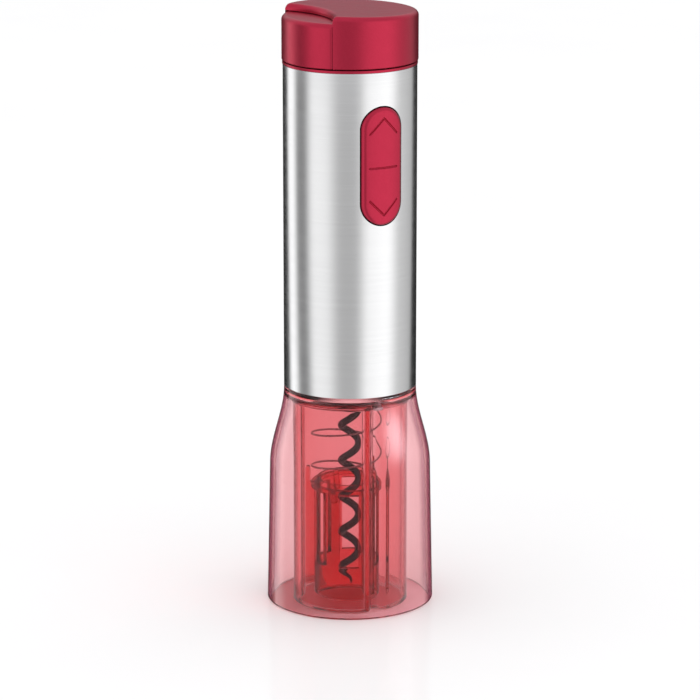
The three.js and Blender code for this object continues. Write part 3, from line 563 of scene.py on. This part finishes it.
def creased(piece, degrees=35):
    """Smooth faces, with edges sharper than an angle kept crisp."""
    piece.data.polygons.foreach_set("use_smooth", [True] * len(piece.data.polygons))
    piece.data.set_sharp_from_angle(angle=np.radians(degrees))
    return piece


def cork_guide():
    """The turned tube with its stepped mouth, less six windows, plus fins and ribs."""
    steps = np.arange(9)
    step_height = 1.3 * MM
    mouth = GUIDE_BOTTOM + 0.8 * MM
    tread = np.repeat(0.55 * MM * (1 - steps / len(steps)), 2)
    riser = mouth + np.repeat(steps, 2) * step_height + np.tile([0, step_height * 0.9], len(steps))
    stairs = np.column_stack([BORE + tread, riser])[::-1]
    shell = [
        [GUIDE - 0.4 * MM, GUIDE_BOTTOM], [GUIDE, GUIDE_BOTTOM + 0.4 * MM],
        [GUIDE, FLANGE_BOTTOM], [FLANGE, FLANGE_BOTTOM], [FLANGE, FLANGE_TOP],
        [COLLAR, FLANGE_TOP], [COLLAR, COLLAR_TOP], [BORE, COLLAR_TOP],
    ]
    outline = np.concatenate([shell, stairs, [[BORE + 0.6 * MM, GUIDE_BOTTOM]]])
    piece = outward(turned("cork_guide_clear", outline, 144))
    outer, inner = GUIDE + 1.5 * MM, BORE - 2 * MM
    opening = rounded([[outer, WINDOW_BOTTOM], [outer, WINDOW_TOP], [inner, WINDOW_TOP],
                       [inner, WINDOW_BOTTOM]], 0.6 * MM, 2)
    windows = [plate_solid("window", opening, WINDOW, azimuth)
               for azimuth in np.radians(np.arange(30, 360, 60))]
    piece = carved(piece, joined("windows", windows), "DIFFERENCE")
    fins = []
    root = FLANGE + 0.4 * MM
    top = guide_high[2]
    for azimuth in np.radians([0, 120, 240]):
        bend = np.linspace(0, np.pi, 9)
        half = (FIN_REACH - root) / 2
        crown = np.column_stack([root + half + half * np.cos(bend), top - half + half * np.sin(bend)])
        body = [[BORE + 0.9 * MM, FIN_BOTTOM], [FIN_REACH, FIN_BOTTOM]]
        shoulder = [[root, FLANGE_TOP - 0.2 * MM], [BORE + 0.9 * MM, FLANGE_TOP - 0.2 * MM]]
        fins.append(plate_solid("fin", np.concatenate([body, crown, shoulder]), FIN, azimuth))
    for azimuth in np.radians([60, 180, 300]):
        rib = [[BORE + 0.4 * MM, RIB_BOTTOM], [BORE - 1.6 * MM, RIB_BOTTOM],
               [BORE - 1.6 * MM, RIB_BOTTOM + 1.5 * MM],
               [BORE - 0.1 * MM, RIB_TOP], [BORE + 0.4 * MM, RIB_TOP]]
        fins.append(plate_solid("rib", rib, RIB, azimuth))
    return creased(carved(piece, joined("fins", fins), "UNION"), 30)


finished(cork_guide(), clear_red("clear_red_deep", 1200.0, 0.15), "guide", "clear_red", "cork_guide")

# ---- Guide spring and screw worm -------------------------------------------
# The spring is drawn from bright wire. The worm is hardened wire wound to a
# right-hand screw, ground to a point at its tip, with a black non-stick coat.
def strip_faces(rows, columns):
    """Quads of a sheet whose columns close on themselves and whose rows don't."""
    row, column = np.meshgrid(np.arange(rows - 1), np.arange(columns), indexing="ij")
    here, right = row * columns, (column + 1) % columns
    faces = [here + column, here + right, here + columns + right, here + columns + column]
    return np.stack(faces, axis=-1).reshape(-1, 4)


def swept(name, centre, radius, steps, sides):
    """A round section carried along a curve, closed at both ends by a point.

    centre and radius are functions of the share along the curve. The section lies
    across the curve's direction, turned from the upright so that it never twists.
    """
    t = np.linspace(0, 1, steps)
    middle = centre(t)
    along = np.gradient(middle, axis=0)
    along /= np.linalg.norm(along, axis=1, keepdims=True)
    out = np.cross(along, [0.0, 0.0, 1.0])
    weak = np.linalg.norm(out, axis=1) < 1e-4
    out[weak] = [1.0, 0.0, 0.0]
    out /= np.linalg.norm(out, axis=1, keepdims=True)
    up = np.cross(out, along)
    angle = np.linspace(0, 2 * np.pi, sides, endpoint=False)
    ring = out[:, None] * np.cos(angle)[None, :, None] + up[:, None] * np.sin(angle)[None, :, None]
    body = (middle[:, None] + ring * radius(t)[:, None, None]).reshape(-1, 3)
    points = np.concatenate([body, middle[:1] - along[:1] * radius(t)[0], middle[-1:]])
    faces = strip_faces(steps, sides).tolist()
    first, last = steps * sides, steps * sides + 1
    for a in range(sides):
        b = (a + 1) % sides
        faces.append([b, a, first])
        faces.append([(steps - 1) * sides + a, (steps - 1) * sides + b, last])
    mesh = bpy.data.meshes.new(name)
    mesh.from_pydata(points.tolist(), [], faces)
    mesh.polygons.foreach_set("use_smooth", [True] * len(mesh.polygons))
    piece = bpy.data.objects.new(name, mesh)
    bpy.context.collection.objects.link(piece)
    return outward(piece)


spring_low, spring_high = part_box("guide_spring")
SPRING_WIRE = 0.4 * MM
SPRING_MEAN = 14.6 * MM
SPRING_PITCH = 12.85 * MM
SPRING_TOP_AZIMUTH = np.radians(-28)


def spring_line(t):
    """A right-hand screw line that ends at the deck, a little to one side of the front."""
    bottom, top = spring_low[2] + SPRING_WIRE, spring_high[2] - SPRING_WIRE
    height = bottom + (top - bottom) * t
    azimuth = SPRING_TOP_AZIMUTH - 2 * np.pi * (top - height) / SPRING_PITCH
    return np.column_stack([SPRING_MEAN * np.sin(azimuth), -SPRING_MEAN * np.cos(azimuth), height])


def bright_wire():
    """Drawn spring steel: fine scratches along the wire and a slightly uneven shine."""
    made, tree, shader = principled("spring_wire", Metallic=1.0)
    link = tree.links.new
    link(ramp(tree, [(0.3, (0.30, 0.29, 0.30)), (0.7, (0.46, 0.45, 0.46))], noise(tree, 900.0)),
         shader.inputs["Base Color"])
    link(ramp(tree, [(0.3, 0.22), (0.7, 0.38)], noise(tree, 1500.0)), shader.inputs["Roughness"])
    bump(tree, shader, noise(tree, 4000.0), 0.1, 0.00002)
    return made


SPRING_STEEL = bright_wire()
spring = swept("guide_spring_wire", spring_line, lambda t: np.full(len(t), SPRING_WIRE), 260, 12)
finished(spring, SPRING_STEEL, "body", "spring_steel", "guide_spring")
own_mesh(spring)

worm_low, worm_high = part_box("corkscrew_worm")
WORM_WIRE = 1.4 * MM
WORM_MEAN = 3.25 * MM
WORM_PITCH = 14 * MM
WORM_PHASE = np.radians(122)


def ease(value, start, end):
    """0 before start, 1 after end, and an ease-in ease-out curve between."""
    t = np.clip((value - start) / (end - start), 0, 1)
    return t * t * (3 - 2 * t)


def worm_line(t):
    """A right-hand screw line whose radius eases in from the tip and out at the root."""
    bottom, top = worm_low[2] + 0.3 * MM, worm_high[2]
    height = bottom + (top - bottom) * t
    azimuth = WORM_PHASE - 3 * np.pi + 2 * np.pi * height / WORM_PITCH
    lead = 0.15 + 0.85 * ease(height, bottom, bottom + 4 * MM)
    reach = WORM_MEAN * lead * (1 - ease(height, top - 4 * MM, top - 0.5 * MM))
    return np.column_stack([reach * np.sin(azimuth), -reach * np.cos(azimuth), height])


def worm_section(t):
    """Full wire, drawn out to a point over the first eleventh."""
    return WORM_WIRE * (0.06 + 0.94 * np.clip(t / 0.09, 0, 1) ** 0.8)


def coated_black():
    """Black fluoropolymer over steel: faint orange peel, worn paler in places."""
    made, tree, shader = principled("black_coating", Specular_IOR_Level=0.25)
    link = tree.links.new
    wear = noise(tree, 300.0, detail=5.0)
    link(ramp(tree, [(0.35, (0.012, 0.010, 0.011)), (0.8, (0.03, 0.026, 0.028))], wear),
         shader.inputs["Base Color"])
    link(ramp(tree, [(0.3, 0.30), (0.8, 0.45)], wear), shader.inputs["Roughness"])
    bump(tree, shader, noise(tree, 2500.0), 0.15, 0.00003)
    return made


worm = swept("corkscrew_worm_wire", worm_line, worm_section, 420, 20)
finished(worm, coated_black(), "drive_output", "black_coating", "corkscrew_worm")

# ---- Body tube -------------------------------------------------------------
# A drawn stainless tube, 0.8 mm thick, brushed round its girth. The hole for the
# key is a stadium.
tube_low, tube_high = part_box("steel_tube")
TUBE = tube_high[0]
TUBE_WALL = 0.8 * MM
KEY_CENTRE = 172 * MM
KEY_HALF_LENGTH = 22 * MM
KEY_HALF_WIDTH = 8.25 * MM
KEY_CLEARANCE = 0.45 * MM


def stadium(half_width, half_length, count):
    """Points round a stadium: two half circles joined by straight sides, evenly spaced."""
    straight = half_length - half_width
    around = 2 * np.pi * half_width + 4 * straight
    s = np.arange(count) / count * around
    arc = np.pi * half_width
    x = np.zeros(count)
    z = np.zeros(count)
    cap = s < arc
    x[cap] = half_width * np.cos(s[cap] / half_width)
    z[cap] = straight + half_width * np.sin(s[cap] / half_width)
    left = (s >= arc) & (s < arc + 2 * straight)
    x[left] = -half_width
    z[left] = straight - (s[left] - arc)
    foot = (s >= arc + 2 * straight) & (s < 2 * arc + 2 * straight)
    turn = (s[foot] - arc - 2 * straight) / half_width
    x[foot] = -half_width * np.cos(turn)
    z[foot] = -straight - half_width * np.sin(turn)
    right = s >= 2 * arc + 2 * straight
    x[right] = half_width
    z[right] = -straight + (s[right] - 2 * arc - 2 * straight)
    return np.column_stack([x, z])


def body_tube():
    """The turned tube less a stadium plug through its front wall."""
    square = [[TUBE, tube_low[2]], [TUBE, tube_high[2]],
              [TUBE - TUBE_WALL, tube_high[2]], [TUBE - TUBE_WALL, tube_low[2]]]
    piece = outward(turned("steel_tube_brushed", rounded(square, 0.15 * MM, 2), 256))
    outline = stadium(KEY_HALF_WIDTH + KEY_CLEARANCE, KEY_HALF_LENGTH + KEY_CLEARANCE, 128)
    count = len(outline)
    near = np.column_stack([outline[:, 0], np.full(count, -TUBE * 1.2), outline[:, 1] + KEY_CENTRE])
    far = near + [0, TUBE * 0.8, 0]
    points = np.concatenate([near, far])
    faces = [[i, (i + 1) % count, (i + 1) % count + count, i + count] for i in range(count)]
    faces += [list(range(count))[::-1], list(range(count, 2 * count))]
    plug = bpy.data.meshes.new("plug")
    plug.from_pydata(points.tolist(), [], faces)
    return creased(carved(piece, joined("plug", [plug]), "DIFFERENCE"), 40)


def brushed_steel():
    """Stainless brushed round its girth: long fine lines that vary in shine and height."""
    made, tree, shader = principled("brushed_steel", Metallic=1.0, Anisotropic=0.35)
    link = tree.links.new
    fine = noise(tree, 25.0, (1, 1, 260), 6.0, 0.7)
    broad = noise(tree, 14.0, (1, 1, 25), 2.0)
    link(ramp(tree, [(0.3, (0.63, 0.63, 0.635)), (0.7, (0.69, 0.69, 0.695))], fine),
         shader.inputs["Base Color"])
    blend = node(tree, "ShaderNodeMath", operation="MULTIPLY_ADD")
    blend.inputs[1].default_value = 0.06
    link(fine, blend.inputs[0])
    link(ramp(tree, [(0.3, 0.17), (0.7, 0.20)], broad), blend.inputs[2])
    link(blend.outputs[0], shader.inputs["Roughness"])
    bump(tree, shader, fine, 0.05, 0.00001)
    return made


STEEL = brushed_steel()
finished(body_tube(), STEEL, "body", "brushed_steel", "steel_tube")

# ---- Rocker key ------------------------------------------------------------
# One long satin key follows the tube's curve and rocks about its middle. Its rim
# is rounded over, and two arrowheads and a line are pressed into its face.
KEY_PROUD = 1.2 * MM
KEY_EDGE = 1.3 * MM
KEY_EDGE_WIDTH = 1.5 * MM
KEY_SKIN = 2.0 * MM
KEY_SKIRT_BOTTOM = TUBE - 4 * MM
MARK_HALF = 5.6 * MM
MARK_WIDTH = 0.30 * MM
MARK_DEPTH = 0.55 * MM


def nearest_mark(x, z):
    """Distance from each point to the closest of the pressed lines."""
    lines = [((-MARK_HALF, -0.4 * MM), (MARK_HALF, -0.4 * MM))]
    for end, apex, foot in ((1, 18.0, 12.3), (-1, 18.2, 12.7)):
        for side in (-1, 1):
            lines.append(((side * MARK_HALF, end * foot * MM), (0.0, end * apex * MM)))
    best = np.full(x.shape, 1.0)
    for (ax, az), (bx, bz) in lines:
        dx, dz = bx - ax, bz - az
        t = np.clip(((x - ax) * dx + (z - az) * dz) / (dx * dx + dz * dz), 0, 1)
        best = np.minimum(best, np.hypot(x - ax - t * dx, z - az - t * dz))
    return best


def rocker_key():
    """Rows run from the face's middle line over the rim, down the skirt and back inside.

    Each row has an inset from the stadium's edge, a radius from the tube's axis and
    a flag for the pressed marks. A point keeps its place across and bends round the
    tube: its depth is the root of the radius squared less the place across squared.
    """
    columns = 560
    outer = TUBE + KEY_PROUD
    edge = stadium(KEY_HALF_WIDTH, KEY_HALF_LENGTH, columns)
    straight = KEY_HALF_LENGTH - KEY_HALF_WIDTH
    spine = np.column_stack([np.zeros(columns), np.clip(edge[:, 1], -straight, straight)])
    rows = [(1 - share, outer, 1) for share in np.linspace(0, 1 - KEY_EDGE_WIDTH / KEY_HALF_WIDTH, 62)]
    for bend in np.linspace(0, np.pi / 2, 12)[1:]:
        inset = KEY_EDGE_WIDTH * (1 - np.sin(bend)) / KEY_HALF_WIDTH
        rows.append((inset, outer - KEY_EDGE * (1 - np.cos(bend)), 0))
    flange = -1.2 * MM / KEY_HALF_WIDTH
    thick = 1.2 * MM / KEY_HALF_WIDTH
    flange_top = KEY_SKIRT_BOTTOM + 1.4 * MM
    rows += [(0, flange_top, 0), (flange, flange_top, 0),
             (flange, KEY_SKIRT_BOTTOM, 0), (thick, KEY_SKIRT_BOTTOM, 0), (thick, outer - KEY_SKIN, 0)]
    rows += [(1 - share, outer - KEY_SKIN, 0) for share in (0.5, 0.0)]
    table = np.array(rows)
    share = 1 - table[:, 0]
    x = spine[None, :, 0] + (edge - spine)[None, :, 0] * share[:, None]
    z = spine[None, :, 1] + (edge - spine)[None, :, 1] * share[:, None]
    pressed = MARK_DEPTH * np.exp(-((nearest_mark(x, z) / MARK_WIDTH) ** 4)) * table[:, 2][:, None]
    radius = table[:, 1][:, None] - pressed
    y = -np.sqrt(radius**2 - x**2)
    points = np.stack([x, y, z + KEY_CENTRE], axis=-1)
    return outward(new_mesh("rocker_key", points.reshape(-1, 3), strip_faces(len(table), columns)))


def satin_red():
    """Red metallic lacquer on moulded plastic: fine flake under a satin clear coat."""
    made, tree, shader = principled("satin_red", Metallic=0.85)
    link = tree.links.new
    flake = node(tree, "ShaderNodeTexVoronoi", Scale=9000.0)
    where = node(tree, "ShaderNodeTexCoord")
    link(where.outputs["Object"], flake.inputs["Vector"])
    link(ramp(tree, [(0.0, (0.38, 0.015, 0.042)), (1.0, (0.46, 0.025, 0.060))], flake.outputs["Color"]),
         shader.inputs["Base Color"])
    link(ramp(tree, [(0.3, 0.31), (0.7, 0.37)], noise(tree, 250.0)), shader.inputs["Roughness"])
    bump(tree, shader, noise(tree, 1400.0, detail=2.0), 0.06, 0.00004)
    return made


SATIN_RED = satin_red()
finished(rocker_key(), SATIN_RED, "button", "satin_red", "rocker_button")

# ---- Top ring --------------------------------------------------------------
# A thin moulded ring is pressed into the tube's mouth. Its lip shows as a line
# under the lid, and a knuckle at its far side carries the lid's pin.
ring_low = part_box("top_ring")[0]
HINGE = Vector((24.9 * MM, 0.0, tube_high[2] + 1.8 * MM))
KNUCKLE = 1.5 * MM
KNUCKLE_HALF = 1.7 * MM


def barrel(name, radius, start, end):
    """A closed round bar along Y on the hinge's line, its end edges broken."""
    edge = 0.2 * MM
    sides = 28
    profile = [(0.0, start), (radius - edge, start), (radius, start + edge),
               (radius, end - edge), (radius - edge, end), (0.0, end)]
    angle = np.linspace(0, 2 * np.pi, sides, endpoint=False)
    r = np.array([p[0] for p in profile])[:, None]
    y = np.array([p[1] for p in profile])[:, None] + 0 * angle
    points = np.stack([HINGE.x + r * np.cos(angle), y, HINGE.z + r * np.sin(angle)], axis=-1)
    return outward(new_mesh(name, points.reshape(-1, 3), strip_faces(len(profile), sides)))


def block_mesh(low, high):
    """A box mesh between two corners."""
    corner = np.array([[x, y, z] for x in (low[0], high[0]) for y in (low[1], high[1])
                       for z in (low[2], high[2])])
    faces = [[0, 1, 3, 2], [4, 6, 7, 5], [0, 4, 5, 1], [2, 3, 7, 6], [0, 2, 6, 4], [1, 5, 7, 3]]
    mesh = bpy.data.meshes.new("block")
    mesh.from_pydata(corner.tolist(), [], faces)
    return mesh


def top_ring():
    """Lip and spigot as one turned section, with slots for the lid's arms, and the knuckle."""
    inner = 22.2 * MM
    lip = TUBE + 0.2 * MM
    spigot = TUBE - TUBE_WALL - 0.3 * MM
    low, mouth, top = ring_low[2], tube_high[2] + 0.05 * MM, tube_high[2] + 1.1 * MM
    section = [[spigot, low], [spigot, mouth], [lip, mouth], [lip, top], [inner, top], [inner, low]]
    piece = outward(turned("top_ring_moulded", rounded(section, 0.2 * MM, 2), 192))
    slots = [block_mesh((23.2 * MM, side - 1.65 * MM, low + 4 * MM), (28 * MM, side + 1.65 * MM, top + MM))
             for side in (-3.65 * MM, 3.65 * MM)]
    piece = carved(piece, joined("slots", slots), "DIFFERENCE")
    web = block_mesh((inner + 0.5 * MM, -KNUCKLE_HALF, mouth), (HINGE.x, KNUCKLE_HALF, HINGE.z))
    piece = carved(piece, joined("knuckle_web", [web]), "UNION")
    piece = carved(piece, barrel("knuckle", KNUCKLE, -KNUCKLE_HALF, KNUCKLE_HALF), "UNION")
    return creased(piece, 35)


finished(top_ring(), SATIN_RED, "body", "satin_red", "top_ring")

# ---- Lid and latch ---------------------------------------------------------
# The lid is a deep cap with a rounded edge, cut away at one side by a shallow arc.
# The latch fills that lens-shaped cut, a step lower, and slides in under the lip.
latch_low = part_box("lid_latch")[0]
CAP = 25.4 * MM
CAP_WALL = 1.9 * MM
CAP_HEIGHT = 19.0 * MM
CAP_BOTTOM = tube_high[2] + 1.5 * MM
CAP_TOP = CAP_BOTTOM + CAP_HEIGHT
CAP_EDGE = 1.9 * MM
CAP_PLATE = 2.6 * MM
CAP_SLOPE = np.tan(np.radians(1.7))
LATCH_TOP = CAP_TOP - 2.8 * MM
ARC_EDGE = 1.8 * MM
ARC = 30.5 * MM
ARC_CENTRE = -41.7 * MM
LATCH_HALF = 18.25 * MM


def leaning(points):
    """Heights fall towards the hinge: a shear that grows from the rim to the top."""
    share = np.maximum(points[..., 2] - CAP_BOTTOM - 3 * MM, 0) / (CAP_HEIGHT - 3 * MM)
    moved = points.copy()
    moved[..., 2] -= CAP_SLOPE * points[..., 0] * share
    return moved


def soft_min(a, b, blend):
    """The smaller of two distances, rounded where they are within a blend of each other."""
    h = np.clip(0.5 + 0.5 * (b - a) / blend, 0, 1)
    return b + (a - b) * h - blend * h * (1 - h)


def ray_to_circle(start_x, angle, centre_x, radius, far):
    """Distance along a level ray to a circle centred on the X axis: the far or the near crossing."""
    offset = start_x - centre_x
    along = offset * np.cos(angle)
    inside = along**2 - offset**2 + radius**2
    root = np.sqrt(np.maximum(inside, 0))
    distance = -along + (root if far else -root)
    return np.where((inside > 0) & (distance > 0), distance, 1.0)


def edge_drop(distance, radius):
    """How far a rounded edge has fallen at a distance in from it: a quarter circle."""
    inside = np.clip(radius - distance, 0, radius)
    return radius - np.sqrt(radius**2 - inside**2)


def cap_solid(name, centre_x, reach, top_height, wall_rows, columns=512):
    """A hollow cap over a level outline, closed at its top and its inside by a pole.

    reach gives the outline as a distance from the centre at each angle, and top_height
    the height at any level point. Rows crowd together towards the edge as the sine of an
    angle does. Each wall row has an inward offset, a height and a share of the way in.
    """
    angle = 2 * np.pi * (np.arange(columns) + 0.5) / columns
    way = np.column_stack([np.cos(angle), np.sin(angle)])
    centre = np.array([centre_x, 0.0])
    far = reach(angle)
    edge = centre + way * far[:, None]
    run = np.roll(edge, -1, axis=0) - np.roll(edge, 1, axis=0)
    run /= np.linalg.norm(run, axis=1, keepdims=True)
    inward = np.column_stack([-run[:, 1], run[:, 0]])
    sheets = []
    insets = np.concatenate([np.linspace(1.0, 0.25, 12)[:-1] * far.max(),
                             0.25 * far.max() * (1 - np.sin(np.linspace(0, np.pi / 2, 40)))])
    for inset in insets:
        level = centre + way * (far * np.maximum(1 - inset / far.max(), 0))[:, None]
        sheets.append(np.column_stack([level, top_height(level)]))
    brim = top_height(edge)
    for offset, height, share in wall_rows:
        level = edge + inward * np.broadcast_to(offset(angle), columns)[:, None]
        level = level + (centre - level) * share
        sheets.append(np.column_stack([level, np.broadcast_to(height(angle, brim), columns)]))
    points = leaning(np.array(sheets))
    return outward(new_mesh(name, points.reshape(-1, 3), strip_faces(len(sheets), columns)))


LID_CENTRE = 8 * MM


def lid_reach(angle):
    """The rim circle, cut short by the arc, with the two meeting corners just broken."""
    rim = ray_to_circle(LID_CENTRE, angle, 0.0, CAP, True)
    arc = ray_to_circle(LID_CENTRE, angle, ARC_CENTRE, ARC, False)
    return soft_min(rim, arc, 0.5 * MM)


def beside_latch(angle):
    """1 along the arc and 0 along the rim, changing within the corner."""
    rim = ray_to_circle(LID_CENTRE, angle, 0.0, CAP, True)
    arc = ray_to_circle(LID_CENTRE, angle, ARC_CENTRE, ARC, False)
    return ease(rim - arc, 0.0, 1.2 * MM)


def still(value):
    """The same offset at every angle."""
    return lambda angle: np.full_like(angle, value)


def walled(value, plate, open_share):
    """A height on the rim's wall. Where there is no wall, it is drawn up to the plate."""
    return lambda angle, brim: plate + (value - plate) * (1 - 0.98 * open_share(angle))


def lid_top(place):
    """Flat, less the rounded edge along the rim and the one along the arc, as a root of squares."""
    from_rim = CAP - np.linalg.norm(place, axis=1)
    from_arc = np.linalg.norm(place - [ARC_CENTRE, 0], axis=1) - ARC
    return CAP_TOP - np.hypot(edge_drop(from_rim, CAP_EDGE), edge_drop(from_arc, ARC_EDGE))


def lid_walls():
    """The lip over the latch, the wall that stands along the rim only, and the inside."""
    lip = LATCH_TOP + 0.3 * MM

    def undercut(angle):
        """Room for the latch along the arc, and none along the rim."""
        return 2.1 * MM * beside_latch(angle)

    def lip_height(angle, brim):
        """Just above the latch, or just below the rounded edge where that is lower."""
        return np.minimum(lip, brim - 0.05 * MM)

    def below_lip(angle, brim):
        """A hair further down, so that the step keeps a crisp edge."""
        return lip_height(angle, brim) - 0.2 * MM

    plate = CAP_TOP - CAP_PLATE
    rows = [(still(0.0), lip_height, 0.0), (undercut, lip_height, 0.0), (undercut, below_lip, 0.0)]
    for height in np.linspace(CAP_TOP - 5 * MM, CAP_BOTTOM + 0.3 * MM, 5):
        rows.append((undercut, walled(height, plate, beside_latch), 0.0))
    for inset, height in ((0.3 * MM, CAP_BOTTOM), (CAP_WALL - 0.2 * MM, CAP_BOTTOM),
                          (CAP_WALL, CAP_BOTTOM + 0.2 * MM), (CAP_WALL, CAP_TOP - 5 * MM)):
        rows.append((lambda angle, inset=inset: undercut(angle) + inset,
                     walled(height, plate, beside_latch), 0.0))
    rows += [(lambda angle: undercut(angle) + CAP_WALL, walled(plate, plate, beside_latch), share)
             for share in (0.0, 0.5, 1.0)]
    return rows


def hinge_arm(side):
    """One of the lid's two hinge arms: a barrel with a web up to the wall."""
    start, end = sorted((side * 2 * MM, side * 5 * MM))
    web = block_mesh((HINGE.x - 1.2 * MM, start, HINGE.z), (HINGE.x + 0.4 * MM, end, HINGE.z + 4 * MM))
    return carved(barrel("arm", KNUCKLE, start, end), joined("web", [web]), "UNION")


def battery_lid():
    """The hollow cap with a notch over the ring's knuckle, and its hinge arms."""
    piece = cap_solid("battery_lid_cap", LID_CENTRE, lid_reach, lid_top, lid_walls())
    notch = block_mesh((HINGE.x - 3 * MM, -2 * MM, CAP_BOTTOM - MM), (28 * MM, 2 * MM, HINGE.z + 2.2 * MM))
    piece = carved(piece, joined("notch", [notch]), "DIFFERENCE")
    for side in (-1, 1):
        piece = carved(piece, hinge_arm(side), "UNION")
    return creased(piece, 40)


finished(battery_lid(), SATIN_RED, "lid", "satin_red", "battery_lid")

LATCH_CENTRE = -19 * MM
LATCH_EDGE = 1.9 * MM
LATCH_WALL = 1.4 * MM
LATCH_PLATE = 2 * MM
UNDERLAP = 0.6 * MM


def latch_reach(angle):
    """Rim circle, inner arc and two straight sides, whichever is met first."""
    rim = ray_to_circle(LATCH_CENTRE, angle, 0.0, CAP, True)
    arc = ray_to_circle(LATCH_CENTRE, angle, ARC_CENTRE, ARC + UNDERLAP, True)
    side = LATCH_HALF / np.maximum(np.abs(np.sin(angle)), 1e-6)
    return soft_min(soft_min(rim, arc, 0.3 * MM), side, 0.3 * MM)


def off_the_rim(angle):
    """0 on the rim and 1 along the arc and the sides, changing within the corner."""
    rim = ray_to_circle(LATCH_CENTRE, angle, 0.0, CAP, True)
    return ease(rim - latch_reach(angle), 0.3 * MM, 1.2 * MM)


def latch_top(place):
    """Flat, less a rounded edge along the rim."""
    return LATCH_TOP - edge_drop(CAP - np.linalg.norm(place, axis=1), LATCH_EDGE)


def latch_walls():
    """The wall that stands along the rim only, outside and inside, and the plate's underside."""
    plate = LATCH_TOP - LATCH_PLATE
    rows = []
    for height in np.linspace(LATCH_TOP - 2.5 * MM, CAP_BOTTOM + 0.3 * MM, 4):
        rows.append((still(0.0), walled(height, plate, off_the_rim), 0.0))
    for inset, height in ((0.3 * MM, CAP_BOTTOM), (LATCH_WALL - 0.2 * MM, CAP_BOTTOM),
                          (LATCH_WALL, CAP_BOTTOM + 0.2 * MM)):
        rows.append((still(inset), walled(height, plate, off_the_rim), 0.0))
    rows += [(still(LATCH_WALL), walled(plate, plate, off_the_rim), share) for share in (0.0, 0.5, 1.0)]
    return rows


def lid_latch():
    """The lens-shaped cap and the tongue that reaches down inside the ring."""
    piece = cap_solid("lid_latch_cap", LATCH_CENTRE, latch_reach, latch_top, latch_walls(), 384)
    half, inside, root = 3.5 * MM, -19.3 * MM, CAP_BOTTOM + 2 * MM
    tongue = block_mesh((-24 * MM, -half, CAP_BOTTOM + 0.3 * MM), (inside, half, root))
    finger = block_mesh((inside - 1.5 * MM, -half, latch_low[2]), (inside, half, root - 0.1 * MM))
    piece = carved(piece, joined("tongue", [tongue]), "UNION")
    piece = carved(piece, joined("finger", [finger]), "UNION")
    return creased(piece, 40)


finished(lid_latch(), SATIN_RED, "latch", "satin_red", "lid_latch")

# ---- Works inside ----------------------------------------------------------
# Moulded, turned and plated pieces, as the frame has them. Each gets the finish
# of its trade: grained plastic, lathe-turned steel, zinc, nylon, board or wrap.
def trade_finish(name, dark, light, rough, metallic=0.0, scale=400.0, stretch=(1, 1, 1)):
    """Two close shades mixed by a grain, with shine and height from the same grain."""
    made, tree, shader = principled(name, Metallic=metallic)
    grain = noise(tree, scale, stretch, 4.0)
    tree.links.new(ramp(tree, [(0.3, dark), (0.7, light)], grain), shader.inputs["Base Color"])
    tree.links.new(ramp(tree, [(0.3, rough), (0.7, rough + 0.12)], grain), shader.inputs["Roughness"])
    bump(tree, shader, grain, 0.12, 0.00004)
    return made


FINISHES = {
    "red_plastic": trade_finish("red_plastic", (0.42, 0.025, 0.04), (0.50, 0.035, 0.055), 0.35),
    "black_plastic": trade_finish("black_plastic", (0.018, 0.018, 0.019), (0.03, 0.03, 0.031), 0.5),
    "switch_black": trade_finish(
        "switch_black", (0.02, 0.02, 0.022), (0.032, 0.032, 0.034), 0.4, 0.0, 900.0),
    "screw_steel": trade_finish("screw_steel", (0.42, 0.42, 0.44), (0.55, 0.55, 0.57), 0.25, 1.0, 1200.0),
    "machined_steel": trade_finish(
        "machined_steel", (0.5, 0.5, 0.5), (0.6, 0.6, 0.61), 0.22, 1.0, 60.0, (1, 1, 90)),
    "plated_steel": trade_finish("plated_steel", (0.56, 0.56, 0.57), (0.66, 0.66, 0.66), 0.28, 1.0, 200.0),
    "bronze": trade_finish("bronze", (0.42, 0.26, 0.12), (0.55, 0.36, 0.18), 0.35, 1.0, 900.0),
    "nylon": trade_finish("nylon", (0.78, 0.76, 0.69), (0.86, 0.84, 0.78), 0.45, 0.0, 300.0),
    "cell_wrap": trade_finish("cell_wrap", (0.05, 0.055, 0.065), (0.08, 0.085, 0.10), 0.22, 0.3, 120.0),
    "nickel": trade_finish("nickel", (0.60, 0.58, 0.53), (0.70, 0.68, 0.62), 0.25, 1.0, 800.0),
    "board_green": trade_finish("board_green", (0.03, 0.17, 0.07), (0.045, 0.22, 0.09), 0.4, 0.0, 1500.0),
    "spring_steel": SPRING_STEEL,
    "satin_red": SATIN_RED,
}
slots = {row["node"]: row["material_slot"] for row in frame["record"]["subparts"]}
for name, piece in frame["nodes"].items():
    if piece.hide_render or slots[name] not in FINISHES:
        continue
    piece.data.materials.clear()
    piece.data.materials.append(FINISHES[slots[name]])
